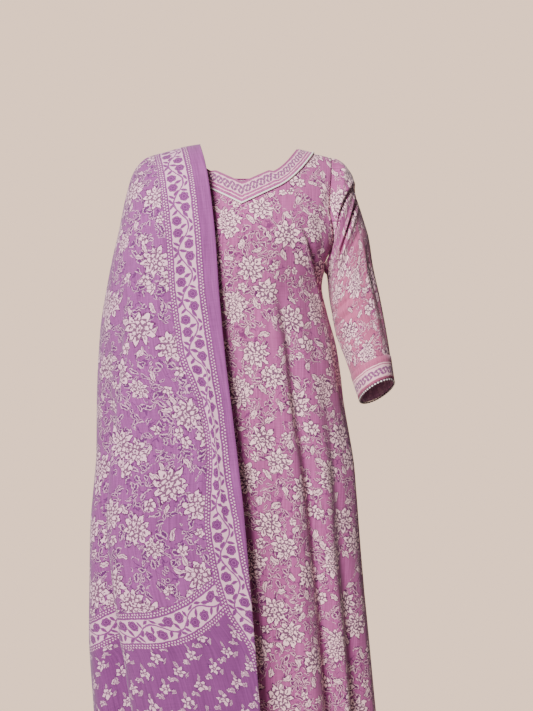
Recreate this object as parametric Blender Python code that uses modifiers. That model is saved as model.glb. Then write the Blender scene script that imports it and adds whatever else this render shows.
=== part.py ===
"""A kurti set in worn form, empty inside: an A-line kurti with three-quarter sleeves, and its dupatta.

Metres, +Z up, front towards -Y. The origin is midway between the two high points of the shoulders,
where the wearer holds the set up. Left and right are the wearer's, so left is +X.
"""
import math

import bpy
import numpy as np

# Driving dimensions of the kurti
KURTI_LENGTH = 1.046
WALL = 0.0015
SEAM_GAP = 0.0003
SEAM_STRIP = 0.008
NECK_STRIP = 0.003
NECK_POINT_GAP = 0.0010
ARMHOLE_GAP = 0.0005
UNDERARM_GAP = 0.0012
UNDERARM_REACH = 0.60
SLEEVE_STRIP = 0.35
BESIDE_X = 0.004
BESIDE_DROP = 0.0006
UNDERARM_Z = -0.228
CORNER_Z = -0.214
CORNER_PLACE = 0.80
CORNER_RISE = 0.12
CORNER_BEND = 1.6
NECK_HALF = 0.103
SHOULDER_TIP_X = 0.165
SHOULDER_DROP = 0.015
SHOULDER_ROUND = 1.6
RING_ROUND = 2.3

# The kurti's rings from shoulder to hem: half width, and depth of the front and of the back
TORSO_COLUMNS = ("z", "half_width", "front_depth", "back_depth")
TORSO = (
    (0.000, 0.200, 0.104, 0.088),
    (-0.080, 0.197, 0.114, 0.098),
    (-0.165, 0.184, 0.124, 0.104),
    (-0.228, 0.1515, 0.122, 0.102),
    (-0.255, 0.1470, 0.120, 0.101),
    (-0.300, 0.1560, 0.117, 0.100),
    (-0.367, 0.1740, 0.116, 0.101),
    (-0.470, 0.1890, 0.119, 0.112),
    (-0.592, 0.2085, 0.124, 0.121),
    (-0.728, 0.2180, 0.130, 0.126),
    (-0.867, 0.2320, 0.138, 0.132),
    (-1.046, 0.2490, 0.148, 0.141),
)
BUST_Z = -0.175
BLADE_Z = -0.150
ARMHOLE_COLUMNS = ("z", "x")
ARMHOLE = (
    (-0.015, 0.1650),
    (-0.100, 0.1610),
    (-0.170, 0.1570),
    (-0.228, 0.1515),
)

# Neckline: a round scoop from each shoulder, a small cusp, then a straight V
V_DEPTH = 0.0730
CUSP_X = 0.0490
CUSP_DEPTH = 0.0490
SCOOP_X = 0.0572
SCOOP_DEPTH = 0.0507
SCOOP_SLOPE = 0.50
BACK_NECK_DEPTH = 0.046
BACK_NECK_ROUND = 3.0

# Neck band, sewn on over the panels
BAND_SHOULDER_X = 0.1296
BAND_V_DEPTH = 0.1107
BAND_SLOPE = 0.515
BAND_CUSP_X = 0.0633
BAND_SCOOP_X = 0.0690
BACK_BAND_WIDTH = 0.029
BACK_NECK_START = 0.042
BACK_BAND_START = 0.054
BAND_LIFT = 0.0011
BAND_WALL = 0.0010
PIPING_RADIUS = 0.0013
CORD_RADIUS = 0.0011
CORD_LIFT = 0.0022
PIPING_OUT = 0.0020
CORD_OUT = 0.0015

# Sleeve sections from the shoulder to the cuff: outer and inner corner, depth, and lift of the front
SLEEVE_COLUMNS = (
    "along", "outer_x", "outer_z", "inner_x", "inner_z", "centre_y", "half_depth", "front_lift",
)
SLEEVE = (
    (0.10, 0.1930, -0.0300, 0.1570, -0.2330, 0.001, 0.0735, 0.000),
    (0.18, 0.2055, -0.0500, 0.1580, -0.2400, 0.001, 0.0700, 0.000),
    (0.27, 0.2110, -0.0830, 0.1590, -0.2500, 0.001, 0.0660, 0.000),
    (0.37, 0.2235, -0.1240, 0.1600, -0.2640, 0.000, 0.063, 0.000),
    (0.47, 0.2350, -0.1650, 0.1620, -0.2820, -0.003, 0.060, 0.001),
    (0.58, 0.2420, -0.2150, 0.1660, -0.3050, -0.008, 0.057, 0.003),
    (0.72, 0.2550, -0.2790, 0.1720, -0.3400, -0.017, 0.053, 0.007),
    (0.87, 0.2670, -0.3520, 0.1900, -0.3900, -0.031, 0.049, 0.013),
    (1.00, 0.2770, -0.4325, 0.2140, -0.4610, -0.048, 0.045, 0.018),
)
HIDDEN_ARM_IN = 0.020
HIDDEN_ARM_BACK = 0.035
HIDDEN_ARM_FULL = 0.75
CUFF_START = 0.93
CUFF_LIFT = 0.0003
CUFF_WALL = 0.0010
CUFF_EDGE_RADIUS = 0.0017
CUFF_EDGE_GAP = 0.0004

# Folds of the kurti: place across at the top and at the hem, where it starts, spread, height outwards
FOLD_COLUMNS = ("at_top", "at_hem", "start_z", "spread", "height")
FRONT_FOLDS = (
    (0.20, 0.34, -0.24, 0.060, 0.012),
    (0.32, 0.46, -0.24, 0.050, -0.015),
    (0.50, 0.54, -0.42, 0.045, 0.010),
    (0.60, 0.63, -0.42, 0.050, -0.015),
    (0.78, 0.79, -0.45, 0.060, 0.006),
    (0.02, 0.06, -0.45, 0.070, -0.004),
    (-0.22, -0.30, -0.30, 0.060, 0.007),
    (-0.34, -0.44, -0.30, 0.055, -0.012),
    (-0.60, -0.62, -0.42, 0.055, -0.010),
)
BACK_FOLDS = (
    (0.10, 0.14, -0.36, 0.060, 0.010),
    (0.24, 0.30, -0.40, 0.055, -0.013),
    (0.44, 0.50, -0.36, 0.055, 0.010),
    (0.60, 0.64, -0.44, 0.050, -0.013),
    (-0.06, -0.04, -0.42, 0.055, -0.011),
    (-0.22, -0.26, -0.38, 0.060, 0.009),
    (-0.40, -0.46, -0.36, 0.055, -0.013),
    (-0.62, -0.66, -0.44, 0.055, -0.010),
)

# Dupatta: its ridge over the shoulder, then rings by how far they hang below the ridge
DUPATTA_WALL = 0.0012
DUPATTA_DROP = 1.150
SPLIT_DROP = 0.520
FRONT_SPLIT = 0.052
BACK_SPLIT = 0.044
SPLIT_FROM = 0.80
ROUND_ABOVE = 4.2
ROUND_BELOW = 2.8
HANG_FULL = 2.2
SHOULDER_DEPTH = 0.150
RIDGE_ROUND = 2.1
RIDGE_COLUMNS = ("x", "z")
RIDGE = (
    (-0.2105, -0.0560),
    (-0.2060, -0.0445),
    (-0.1975, -0.0305),
    (-0.1780, -0.0135),
    (-0.1430, -0.0034),
    (-0.1070, 0.0065),
    (-0.0795, 0.0110),
)
FRONT_HANG_COLUMNS = (
    "drop", "inner_x", "side_x", "depth", "fold_at", "fold_turn", "fold_height",
)
FRONT_HANG = (
    (0.000, -0.0795, 0.2105, 0.108, 0.620, -1.00, 0.000),
    (0.050, -0.0650, 0.2215, 0.118, 0.640, -1.00, 0.000),
    (0.100, -0.0560, 0.2305, 0.128, 0.660, -1.00, 0.000),
    (0.180, -0.0460, 0.2485, 0.136, 0.690, -1.00, 0.002),
    (0.290, -0.0380, 0.2665, 0.134, 0.730, -0.80, 0.006),
    (0.400, -0.0270, 0.2725, 0.133, 0.770, 0.10, 0.010),
    (0.520, -0.0120, 0.2740, 0.137, 0.790, 0.80, 0.012),
    (0.660, 0.0040, 0.2820, 0.146, 0.790, 1.30, 0.013),
    (0.820, 0.0176, 0.2820, 0.156, 0.720, 1.70, 0.013),
    (1.000, 0.0320, 0.2700, 0.170, 0.650, 2.00, 0.013),
    (1.150, 0.0450, 0.2660, 0.176, 0.620, 2.00, 0.013),
)
FOLD_REACH = 0.12
BACK_HANG_COLUMNS = ("drop", "inner_x", "side_x", "depth", "wave")
BACK_HANG = (
    (0.000, -0.0795, 0.2105, 0.124, 0.000),
    (0.050, -0.0720, 0.2215, 0.128, 0.000),
    (0.100, -0.0680, 0.2305, 0.130, 0.001),
    (0.180, -0.0640, 0.2485, 0.131, 0.003),
    (0.290, -0.0600, 0.2665, 0.124, 0.006),
    (0.400, -0.0520, 0.2725, 0.132, 0.009),
    (0.520, -0.0440, 0.2740, 0.146, 0.011),
    (0.660, -0.0340, 0.2800, 0.156, 0.013),
    (0.820, -0.0240, 0.2800, 0.166, 0.014),
    (1.000, -0.0140, 0.2700, 0.174, 0.015),
    (1.150, -0.0060, 0.2660, 0.178, 0.015),
)
BACK_WAVES = 3.2
BACK_WAVE_START = 0.6
BACK_CENTRE = 0.62
WAVE_EDGE = 0.06

# How finely the walls are divided
NECK_COLUMNS = (0.0, 0.075, 0.150, 0.225)
BAND_STEPS = 8
BAND_CLOSENESS = 1.6
BAND_SHARES = (0.0, 0.34, 0.67, 1.0)
SCOOP_STEPS = 5
SCOOP_CLOSENESS = 1.2
BACK_CLOSENESS = 1.0
SHOULDER_PLACES = (0.70, 0.78, 0.86, 0.93, 1.0)
SIDE_PLACES = (0.850, 0.900, 0.950)
STRIP_PLACE = 0.980
BACK_SCOOP_START = 0.27
BODY_ROWS = 13
ARMHOLE_ROWS = 7
ROUNDING_DROP = 0.140
ROUNDING_ROWS = 5
HANGING_ROWS = 17
FLAT_STEPS = 7
FOLD_STEPS = 10
SIDE_STEPS = 5
SLEEVE_ROWS = (0.10, 0.18, 0.29, 0.43, 0.57, 0.71, 0.83, CUFF_START, 1.0)

# Colours and finishes
LAVENDER = (0.470, 0.285, 0.560, 1.0)
VIOLET = (0.400, 0.240, 0.560, 1.0)
OFF_WHITE = (0.800, 0.745, 0.760, 1.0)
WHITE = (0.860, 0.840, 0.840, 1.0)
PINK_LAVENDER = (0.520, 0.310, 0.520, 1.0)


def smooth_reader(columns, rows):
    """A function that reads a named column of a table at any value of its first column."""
    data = np.array(sorted(rows), dtype=float)
    knots = data[:, 0]
    gaps = np.diff(knots)

    def read(name, at):
        values = data[:, columns.index(name)]
        rises = np.diff(values) / gaps
        slopes = np.empty_like(values)
        slopes[0] = rises[0]
        slopes[-1] = rises[-1]
        same_way = rises[1:] * rises[:-1] > 0
        total = np.where(same_way, rises[1:] + rises[:-1], 1.0)
        slopes[1:-1] = np.where(same_way, 2 * rises[1:] * rises[:-1] / total, 0.0)
        at = np.clip(np.asarray(at, dtype=float), knots[0], knots[-1])
        i = np.clip(np.searchsorted(knots, at) - 1, 0, len(knots) - 2)
        t = (at - knots[i]) / gaps[i]
        start = values[i] * (1 + 2 * t) * (1 - t) ** 2 + slopes[i] * gaps[i] * t * (1 - t) ** 2
        end = values[i + 1] * (3 - 2 * t) * t**2 - slopes[i + 1] * gaps[i] * (1 - t) * t**2
        return start + end

    return read


torso = smooth_reader(TORSO_COLUMNS, TORSO)
armhole = smooth_reader(ARMHOLE_COLUMNS, ARMHOLE)
sleeve_section = smooth_reader(SLEEVE_COLUMNS, SLEEVE)
ridge_line = smooth_reader(RIDGE_COLUMNS, RIDGE)
front_hang = smooth_reader(FRONT_HANG_COLUMNS, FRONT_HANG)
back_hang = smooth_reader(BACK_HANG_COLUMNS, BACK_HANG)


def ease(low, high, value):
    """0 below low, 1 above high, smooth between."""
    t = np.clip((value - low) / (high - low), 0.0, 1.0)
    return t * t * (3 - 2 * t)


def unit(vectors):
    return vectors / np.maximum(np.linalg.norm(vectors, axis=-1, keepdims=True), 1e-12)


def point(x, y, z):
    return np.stack(np.broadcast_arrays(x, y, z), axis=-1).astype(float)


def shoulder_z(x):
    """Height of the shoulder seam at x."""
    slope = SHOULDER_DROP / (SHOULDER_TIP_X - NECK_HALF)
    return -slope * np.maximum(np.abs(x) - NECK_HALF, 0.0)


def fold_height(folds, across, z):
    """How far the folds push the panel out at a place across it, from -1 to 1."""
    total = np.zeros(np.broadcast(across, z).shape)
    for row in folds:
        fold = dict(zip(FOLD_COLUMNS, row))
        grown = np.clip((fold["start_z"] - z) / (fold["start_z"] + KURTI_LENGTH), 0.0, 1.0)
        centre = fold["at_top"] + (fold["at_hem"] - fold["at_top"]) * grown
        total += fold["height"] * grown**0.8 * np.exp(-(((across - centre) / fold["spread"]) ** 2))
    return total


def body_surface(x, z, side):
    """A point on the front (side -1) or the back (side 1) of the kurti, with its folds."""
    half = torso("half_width", z)
    depth = torso("front_depth" if side < 0 else "back_depth", z) - SEAM_STRIP
    top = BUST_Z if side < 0 else BLADE_Z
    share = np.clip(np.abs(x) / half, 0.0, 1.0)
    swell = np.sqrt(1 - share**RING_ROUND)
    climb = np.clip((z - top) / (shoulder_z(x) - top), 0.0, 1.0)
    over = (1 - climb**SHOULDER_ROUND) ** (1 / SHOULDER_ROUND)
    y = side * (SEAM_STRIP + depth * swell * over)
    across = np.arcsin(np.clip(x / half, -1.0, 1.0)) / (math.pi / 2)
    height = fold_height(FRONT_FOLDS if side < 0 else BACK_FOLDS, across, z)
    outward = unit(point(x / half**2, side * swell / depth, 0.0))
    return point(x, y, z) + outward * height[..., None]


def front_neck_z(x):
    """Height of the front neckline at x."""
    x = np.abs(x)
    run = NECK_HALF - SCOOP_X
    bend = (SCOOP_DEPTH - SCOOP_SLOPE * run) / run**2
    scoop = -SCOOP_DEPTH + SCOOP_SLOPE * (x - SCOOP_X) + bend * (x - SCOOP_X) ** 2
    straight = -V_DEPTH + (V_DEPTH - CUSP_DEPTH) * x / CUSP_X
    step = -CUSP_DEPTH + (CUSP_DEPTH - SCOOP_DEPTH) * (x - CUSP_X) / (SCOOP_X - CUSP_X)
    return np.where(x < CUSP_X, straight, np.where(x < SCOOP_X, step, scoop))


def front_band_z(x):
    """Height of the band's outer edge on the front."""
    run = BAND_SHOULDER_X - BAND_CUSP_X
    rise = shoulder_z(BAND_SHOULDER_X) + BAND_V_DEPTH - BAND_SLOPE * BAND_SHOULDER_X
    bend = rise / run**2
    return -BAND_V_DEPTH + BAND_SLOPE * np.abs(x) + bend * np.maximum(np.abs(x) - BAND_CUSP_X, 0) ** 2


def back_neck_z(x):
    share = np.clip(np.abs(x) / NECK_HALF, 0.0, 1.0)
    return -BACK_NECK_DEPTH * (1 - share**BACK_NECK_ROUND)


def back_band_z(x):
    share = np.clip(np.abs(x) / BAND_SHOULDER_X, 0.0, 1.0)
    low = shoulder_z(BAND_SHOULDER_X)
    return low - (BACK_NECK_DEPTH + BACK_BAND_WIDTH + low) * (1 - share**BACK_NECK_ROUND)


def panel_places(side):
    """Places of a panel's columns, from 0 at its centre to 1 at the armhole."""
    power = SCOOP_CLOSENESS if side < 0 else BACK_CLOSENESS
    closeness = np.linspace(1.0, 0.0, SCOOP_STEPS + 1) ** power
    end = NECK_HALF / SHOULDER_TIP_X
    if side < 0:
        middle = list(NECK_COLUMNS) + [CUSP_X / float(armhole("x", -CUSP_DEPTH))]
        start = SCOOP_X / float(armhole("x", -SCOOP_DEPTH))
    else:
        middle = list(NECK_COLUMNS[:3])
        start = BACK_SCOOP_START
    half = np.array(middle + list(end - (end - start) * closeness) + list(SHOULDER_PLACES))
    return np.concatenate([-half[:0:-1], half])


def panel_top(place, side):
    """Height where a column ends: the neckline in the middle, the shoulder seam outside it."""
    neck = front_neck_z if side < 0 else back_neck_z
    z = np.full(place.shape, -SHOULDER_DROP)
    for _ in range(12):
        x = place * armhole("x", z)
        z = np.where(np.abs(x) < NECK_HALF - 1e-6, neck(x), shoulder_z(x))
    return z


def panel_rows(place, heights, side):
    """Rows of a panel's points, one for each row of heights."""
    rows = []
    for z in heights:
        low_x = torso("half_width", z) * np.sin(place * CORNER_PLACE * math.pi / 2)
        high_x = armhole("x", z) * place
        rising = ease(UNDERARM_Z, UNDERARM_Z + CORNER_RISE, z)
        rows.append(body_surface(low_x + (high_x - low_x) * rising, z, side))
    return np.array(rows)


def side_columns(sign, side):
    """Columns between the armhole's corner and the side seam, from the corner outwards."""
    columns = []
    for place in SIDE_PLACES + (STRIP_PLACE, 1.0):
        curve = ((1 - place) / (1 - CORNER_PLACE)) ** CORNER_BEND
        top = UNDERARM_Z + (CORNER_Z - UNDERARM_Z) * curve
        z = np.linspace(-KURTI_LENGTH, top, BODY_ROWS + 1)
        turn = place if place < STRIP_PLACE else 1.0
        line = body_surface(sign * torso("half_width", z) * math.sin(turn * math.pi / 2), z, side)
        if place == 1.0:
            line[:, 1] = side * SEAM_GAP / 2
        columns.append(line)
    return np.stack(columns, axis=1)


def kurti_panel(side):
    """The points of the front or the back: a low grid from side seam to side seam, and a high one."""
    place = panel_places(side)
    top = panel_top(place, side)
    levels = np.linspace(-KURTI_LENGTH, CORNER_Z, BODY_ROWS + 1)
    climb = (1 - np.cos(np.linspace(0.0, math.pi, ARMHOLE_ROWS + 1))) / 2
    low = panel_rows(place, [np.full(place.shape, z) for z in levels], side)
    high = panel_rows(place, [CORNER_Z + (top - CORNER_Z) * share for share in climb], side)
    right = side_columns(-1, side)[:, ::-1]
    left = side_columns(1, side)
    return np.concatenate([right, low, left], axis=1), with_top_strip(high, side)


def with_top_strip(grid, side):
    """Adds the last row: level over the shoulder, and a few millimetres of neckline."""
    last = grid[-1].copy()
    on_shoulder = np.abs(last[:, 0]) > NECK_HALF - 1e-4
    at_neck = on_shoulder & (np.abs(last[:, 0]) < NECK_HALF + 1e-4)
    last[on_shoulder, 1] = side * SEAM_GAP / 2
    last[at_neck, 1] = side * NECK_POINT_GAP
    before = grid[-1].copy()
    nearness = ease(SCOOP_X, NECK_HALF, np.abs(last[:, 0]))
    inward = unit(grid[-2] - grid[-1]) * (NECK_STRIP * (1 + nearness))[:, None]
    by_neck = np.abs(before[:, 0]) < NECK_HALF + 1e-4
    before[by_neck] += inward[by_neck]
    grid[-1] = before
    return np.concatenate([grid, last[None]], axis=0)


def collection_named(name):
    made = bpy.data.collections.new(name)
    bpy.context.scene.collection.children.link(made)
    return made


def material_named(name, colour, roughness):
    made = bpy.data.materials.new(name)
    made.use_nodes = True
    shader = made.node_tree.nodes["Principled BSDF"]
    shader.inputs["Base Color"].default_value = colour
    shader.inputs["Roughness"].default_value = roughness
    shader.inputs["Metallic"].default_value = 0.0
    return made


def mesh_object(name, vertices, faces, material, collection):
    mesh = bpy.data.meshes.new(name)
    mesh.from_pydata([tuple(v) for v in vertices], [], faces)
    mesh.materials.append(material)
    mesh.shade_smooth()
    made = bpy.data.objects.new(name, mesh)
    collection.objects.link(made)
    return made


def numbered_faces(number, wrap=False):
    """Quads of a grid of vertex numbers, wound so that row up and column right face the viewer."""
    if wrap:
        number = np.concatenate([number, number[:, :1]], axis=1)
    corners = (number[:-1, :-1], number[:-1, 1:], number[1:, 1:], number[1:, :-1])
    return [tuple(face) for face in np.stack(corners, axis=-1).reshape(-1, 4).tolist()]


def thicken(made, thickness):
    """Gives a sheet its thickness, inwards."""
    solid = made.modifiers.new("Wall", "SOLIDIFY")
    solid.thickness = thickness
    solid.offset = -1.0


def panel_object(name, panel, material, collection, flip):
    """A panel of the kurti: its low and its high grid share the row at the armhole's corner."""
    low, high = panel
    rows, columns = low.shape[:2]
    beside = len(SIDE_PLACES) + 2
    number = np.arange(rows * columns).reshape(rows, columns)
    across = columns - 2 * beside
    above = rows * columns + np.arange((len(high) - 1) * across).reshape(-1, across)
    above = np.concatenate([number[-1:, beside:-beside], above])
    faces = numbered_faces(number) + numbered_faces(above)
    if flip:
        faces = [tuple(reversed(face)) for face in faces]
    vertices = np.concatenate([low.reshape(-1, 3), high[1:].reshape(-1, 3)])
    made = mesh_object(name, vertices, faces, material, collection)
    thicken(made, WALL)


def wall(name, grid, thickness, material, collection, wrap=False, flip=False):
    """A cloth wall: its outer face is the grid, its thickness goes inwards."""
    rows, columns = grid.shape[:2]
    faces = numbered_faces(np.arange(rows * columns).reshape(rows, columns), wrap)
    if flip:
        faces = [tuple(reversed(face)) for face in faces]
    made = mesh_object(name, grid.reshape(-1, 3), faces, material, collection)
    thicken(made, thickness)


def cord_object(name, points, radius, material, collection):
    """A round cord along a closed line."""
    data = bpy.data.curves.new(name, "CURVE")
    data.dimensions = "3D"
    data.bevel_depth = radius
    data.bevel_resolution = 1
    spline = data.splines.new("POLY")
    spline.points.add(len(points) - 1)
    for place, target in zip(points, spline.points):
        target.co = (*place, 1.0)
    spline.use_cyclic_u = True
    data.materials.append(material)
    made = bpy.data.objects.new(name, data)
    collection.objects.link(made)
    return made


def outward_normals(grid, wrap=False):
    """Unit normals of a grid's points, on the side that numbered_faces turns outwards."""
    if wrap:
        along = np.roll(grid, -1, axis=1) - np.roll(grid, 1, axis=1)
    else:
        along = np.gradient(grid, axis=1)
    up = np.gradient(grid, axis=0)
    return unit(np.cross(along, up))


def neck_stations(side):
    """Pairs of x, on the neckline and on the band's outer edge, from the centre to one shoulder."""
    nearness = np.linspace(1.0, 0.0, BAND_STEPS + 1) ** BAND_CLOSENESS
    if side < 0:
        inner = [0.0, CUSP_X / 3, 2 * CUSP_X / 3, CUSP_X]
        outer = [0.0, BAND_CUSP_X / 3, 2 * BAND_CUSP_X / 3, BAND_CUSP_X]
        inner_start, outer_start = SCOOP_X, BAND_SCOOP_X
    else:
        inner = list(np.linspace(0.0, BACK_NECK_START, 4)[:-1])
        outer = list(np.linspace(0.0, BACK_BAND_START, 4)[:-1])
        inner_start, outer_start = BACK_NECK_START, BACK_BAND_START
    inner += list(NECK_HALF - (NECK_HALF - inner_start) * nearness)
    outer += list(BAND_SHOULDER_X - (BAND_SHOULDER_X - outer_start) * nearness)
    return np.array(inner), np.array(outer)


def band_grid(side, lift):
    """The band's points, from the right shoulder seam to the left one, outer edge to neckline."""
    inner, outer = neck_stations(side)
    inner_z = front_neck_z(inner) if side < 0 else back_neck_z(inner)
    outer_z = front_band_z(outer) if side < 0 else back_band_z(outer)
    strips = []
    for share in BAND_SHARES:
        x = outer + (inner - outer) * share
        z = np.minimum(outer_z + (inner_z - outer_z) * share, shoulder_z(x))
        line = body_surface(x, z, side)
        seam = line[-1].copy()
        seam[1] = side * SEAM_GAP / 2
        strips.append(np.concatenate([line, seam[None]]))
    half = np.array(strips)
    mirrored = half[:, :0:-1] * np.array([-1.0, 1.0, 1.0])
    grid = np.concatenate([mirrored, half], axis=1)
    if side > 0:
        grid = grid[:, ::-1]
    normals = outward_normals(grid)
    normals[:, [0, -1]] = (0.0, 0.0, 1.0)
    return grid + normals * lift


def neck_loop(lift, share_out, shift):
    """A closed line round the neck: on the neckline (1) or the band's outer edge (0), shifted."""
    line = []
    for side in (-1, 1):
        grid = band_grid(side, lift)
        row = grid[-1] if share_out > 0 else grid[0]
        other = grid[-2] if share_out > 0 else grid[1]
        away = unit(row - other)
        line.append((row + away * shift)[1:-1])
    return np.concatenate(line)


def armhole_half(sign, panel):
    """One panel's armhole from the shoulder tip down to the side seam."""
    low, high = panel
    upright = high[::-1, -1 if sign > 0 else 0]
    count = len(SIDE_PLACES) + 2
    under = low[-1, -count:] if sign > 0 else low[-1, count - 1::-1]
    return np.concatenate([upright, under])


def armhole_loop(sign, front, back):
    """The armhole's points: over the shoulder, down the front, up the back."""
    forward = armhole_half(sign, front)
    rearward = armhole_half(sign, back)
    tip = (forward[0] + rearward[0]) / 2
    under = (forward[-1] + rearward[-1]) / 2
    return np.concatenate([[tip], forward[1:-1], [under], rearward[-2:0:-1]])


def ring_angles(loop):
    """Angle of each armhole point round the sleeve: 0 at the top, a quarter turn at the front."""
    steps = np.linalg.norm(np.roll(loop, -1, axis=0) - loop, axis=1)
    bottom = len(loop) // 2
    down = np.cumsum(steps[:bottom]) / steps[:bottom].sum()
    up = np.cumsum(steps[bottom:]) / steps[bottom:].sum()
    return math.pi * np.concatenate([[0.0], down, 1 + up[:-1]])


def sleeve_ring(along, angle, hidden):
    """One section of a sleeve on the +X side. The hidden arm hangs closer and straighter."""
    read = {name: float(sleeve_section(name, along)) for name in SLEEVE_COLUMNS[1:]}
    reach = hidden * float(ease(SLEEVE_ROWS[0], HIDDEN_ARM_FULL, along))
    outer = np.array([read["outer_x"] - HIDDEN_ARM_IN * reach, 0.0, read["outer_z"]])
    inner = np.array([read["inner_x"], 0.0, read["inner_z"]])
    middle = (outer + inner) / 2
    middle[1] = read["centre_y"] + HIDDEN_ARM_BACK * reach
    across = (outer - inner) / 2
    forward = np.array([0.0, -read["half_depth"], read["front_lift"]])
    return middle + np.cos(angle)[:, None] * across + np.sin(angle)[:, None] * forward


def sleeve_grid(sign, front, back):
    """A sleeve from its armhole seam to the cuff, on either side."""
    hidden = 0.0 if sign > 0 else 1.0
    mirror = np.array([float(sign), 1.0, 1.0])
    loop = armhole_loop(sign, front, back) * mirror
    angle = ring_angles(loop)
    first = sleeve_ring(SLEEVE_ROWS[0], angle, hidden)
    low = ease(0.35, 0.85, (1 - np.cos(angle)) / 2)[:, None]
    beside_x = loop[:, 0] + BESIDE_X
    beside_z = loop[:, 2] - BESIDE_DROP
    in_front = np.sin(angle)[:, None] > 0
    beside = np.where(in_front, body_surface(beside_x, beside_z, -1), body_surface(beside_x, beside_z, 1))
    beside[[0, len(loop) // 2], 1] = 0.0
    flush = unit(beside - loop)
    reach = np.linalg.norm(first - loop, axis=1, keepdims=True)
    away = (first - loop) / reach
    way = unit(flush * (1 - low) + away * low + np.array([UNDERARM_REACH, 0.0, 0.0]) * low)
    seam = loop + way * (ARMHOLE_GAP + UNDERARM_GAP * low)
    strip = loop + way * SLEEVE_STRIP * reach
    rings = [seam, strip] + [sleeve_ring(along, angle, hidden) for along in SLEEVE_ROWS]
    return np.array(rings) * mirror


def cuff_grid(sleeve, flip):
    """The band on the cuff: the sleeve's last rows, moved out."""
    normals = outward_normals(sleeve, wrap=True) * (-1.0 if flip else 1.0)
    return (sleeve + normals * (CUFF_LIFT + CUFF_WALL))[-2:]


def hang_point(row, fraction, side):
    """A point of the dupatta: how far below the ridge, and how far across from the inner edge."""
    read = front_hang if side < 0 else back_hang
    inner_x = read("inner_x", row)
    side_x = read("side_x", row)
    x = inner_x - fraction * (inner_x + side_x)
    top_x = RIDGE[-1][0] + fraction * (RIDGE[0][0] - RIDGE[-1][0])
    z = ridge_line("z", top_x) - row
    share = np.clip(-x / side_x, 0.0, 1.0)
    fullness = ROUND_BELOW + (ROUND_ABOVE - ROUND_BELOW) * (1 - ease(0.10, 0.70, row))
    swell = (1 - share**fullness) ** (1 / HANG_FULL)
    climb = np.clip(1 - row / SHOULDER_DEPTH, 0.0, 1.0)
    over = (1 - climb**RIDGE_ROUND) ** (1 / RIDGE_ROUND)
    y = side * read("depth", row) * swell * over
    outward = unit(point(x / side_x**2, side * swell / read("depth", row), 0.0))
    return point(x, y, z), outward


def hang_rows():
    """How far below the ridge each row of the dupatta lies, close together over the shoulder."""
    over = ROUNDING_DROP * (1 - np.cos(np.linspace(0.0, math.pi / 2, ROUNDING_ROWS + 1)))
    below = np.linspace(ROUNDING_DROP, DUPATTA_DROP, HANGING_ROWS + 1)
    return np.concatenate([over, below[1:]])


def parting(drop):
    """How far the two outer edges stand apart at the side: 0 where they part, 1 at the ends."""
    return math.sqrt(max(drop - SPLIT_DROP, 0.0) / (DUPATTA_DROP - SPLIT_DROP))


def dupatta_fractions(centre, kink):
    """Places across a length from the inner edge to the outer, doubling back at the fold."""
    flat = np.linspace(0.0, centre - FOLD_REACH, FLAT_STEPS + 1)[:-1]
    turn = np.linspace(-1.0, 1.0, FOLD_STEPS)
    zed = centre + FOLD_REACH * ((1 + kink) * turn**3 - kink * turn)
    rest = np.linspace(0.0, 1.0, SIDE_STEPS + 1)[1:]
    end = centre + FOLD_REACH
    side = end + (1 - end) * np.sin(rest * math.pi / 2)
    layer = np.concatenate([np.ones(FLAT_STEPS), (turn**3 - 3 * turn) / 2, ease(0, 1, rest) - 1])
    return np.concatenate([flat, zed, side]), layer


def dupatta_front():
    """Grid of the front length: rows from the ridge down, columns from the inner edge to the outer."""
    grid = []
    for drop in hang_rows():
        read = {name: float(front_hang(name, drop)) for name in FRONT_HANG_COLUMNS}
        fraction, layer = dupatta_fractions(read["fold_at"], read["fold_turn"])
        place, outward = hang_point(drop, fraction, -1)
        place = place + outward * (layer * read["fold_height"])[:, None]
        place[:, 1] -= FRONT_SPLIT * parting(drop) * ease(SPLIT_FROM, 1.0, fraction)
        grid.append(place)
    return np.array(grid)


def dupatta_back():
    """Grid of the back length, with its soft upright folds."""
    fraction, _ = dupatta_fractions(BACK_CENTRE, -1.0)
    quiet = ease(0.0, WAVE_EDGE, fraction) * (1 - ease(1 - 2 * WAVE_EDGE, 1.0, fraction))
    grid = []
    for drop in hang_rows():
        read = {name: float(back_hang(name, drop)) for name in BACK_HANG_COLUMNS}
        place, outward = hang_point(drop, fraction, 1)
        wave = read["wave"] * np.sin(2 * math.pi * BACK_WAVES * fraction + BACK_WAVE_START) * quiet
        place = place + outward * wave[:, None]
        place[:, 1] += BACK_SPLIT * parting(drop) * ease(SPLIT_FROM, 1.0, fraction)
        grid.append(place)
    return np.array(grid)


def make_dupatta(material, collection):
    """One sheet over the shoulder. Its outer edge is closed at the side down to where it parts."""
    front = dupatta_front()
    back = dupatta_back()
    drops = hang_rows()
    rows, columns = front.shape[:2]
    vertices = list(front.reshape(-1, 3))
    number = np.arange(rows * columns).reshape(rows, columns)
    back_number = number.copy()
    for i in range(1, rows):
        for j in range(columns):
            if j == columns - 1 and drops[i] <= SPLIT_DROP:
                continue
            back_number[i, j] = len(vertices)
            vertices.append(back[i, j])
    sheet = np.concatenate([number[::-1], back_number[1:]])
    faces = [tuple(reversed(face)) for face in numbered_faces(sheet)]
    made = mesh_object("dupatta", vertices, faces, material, collection)
    thicken(made, DUPATTA_WALL)


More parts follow.
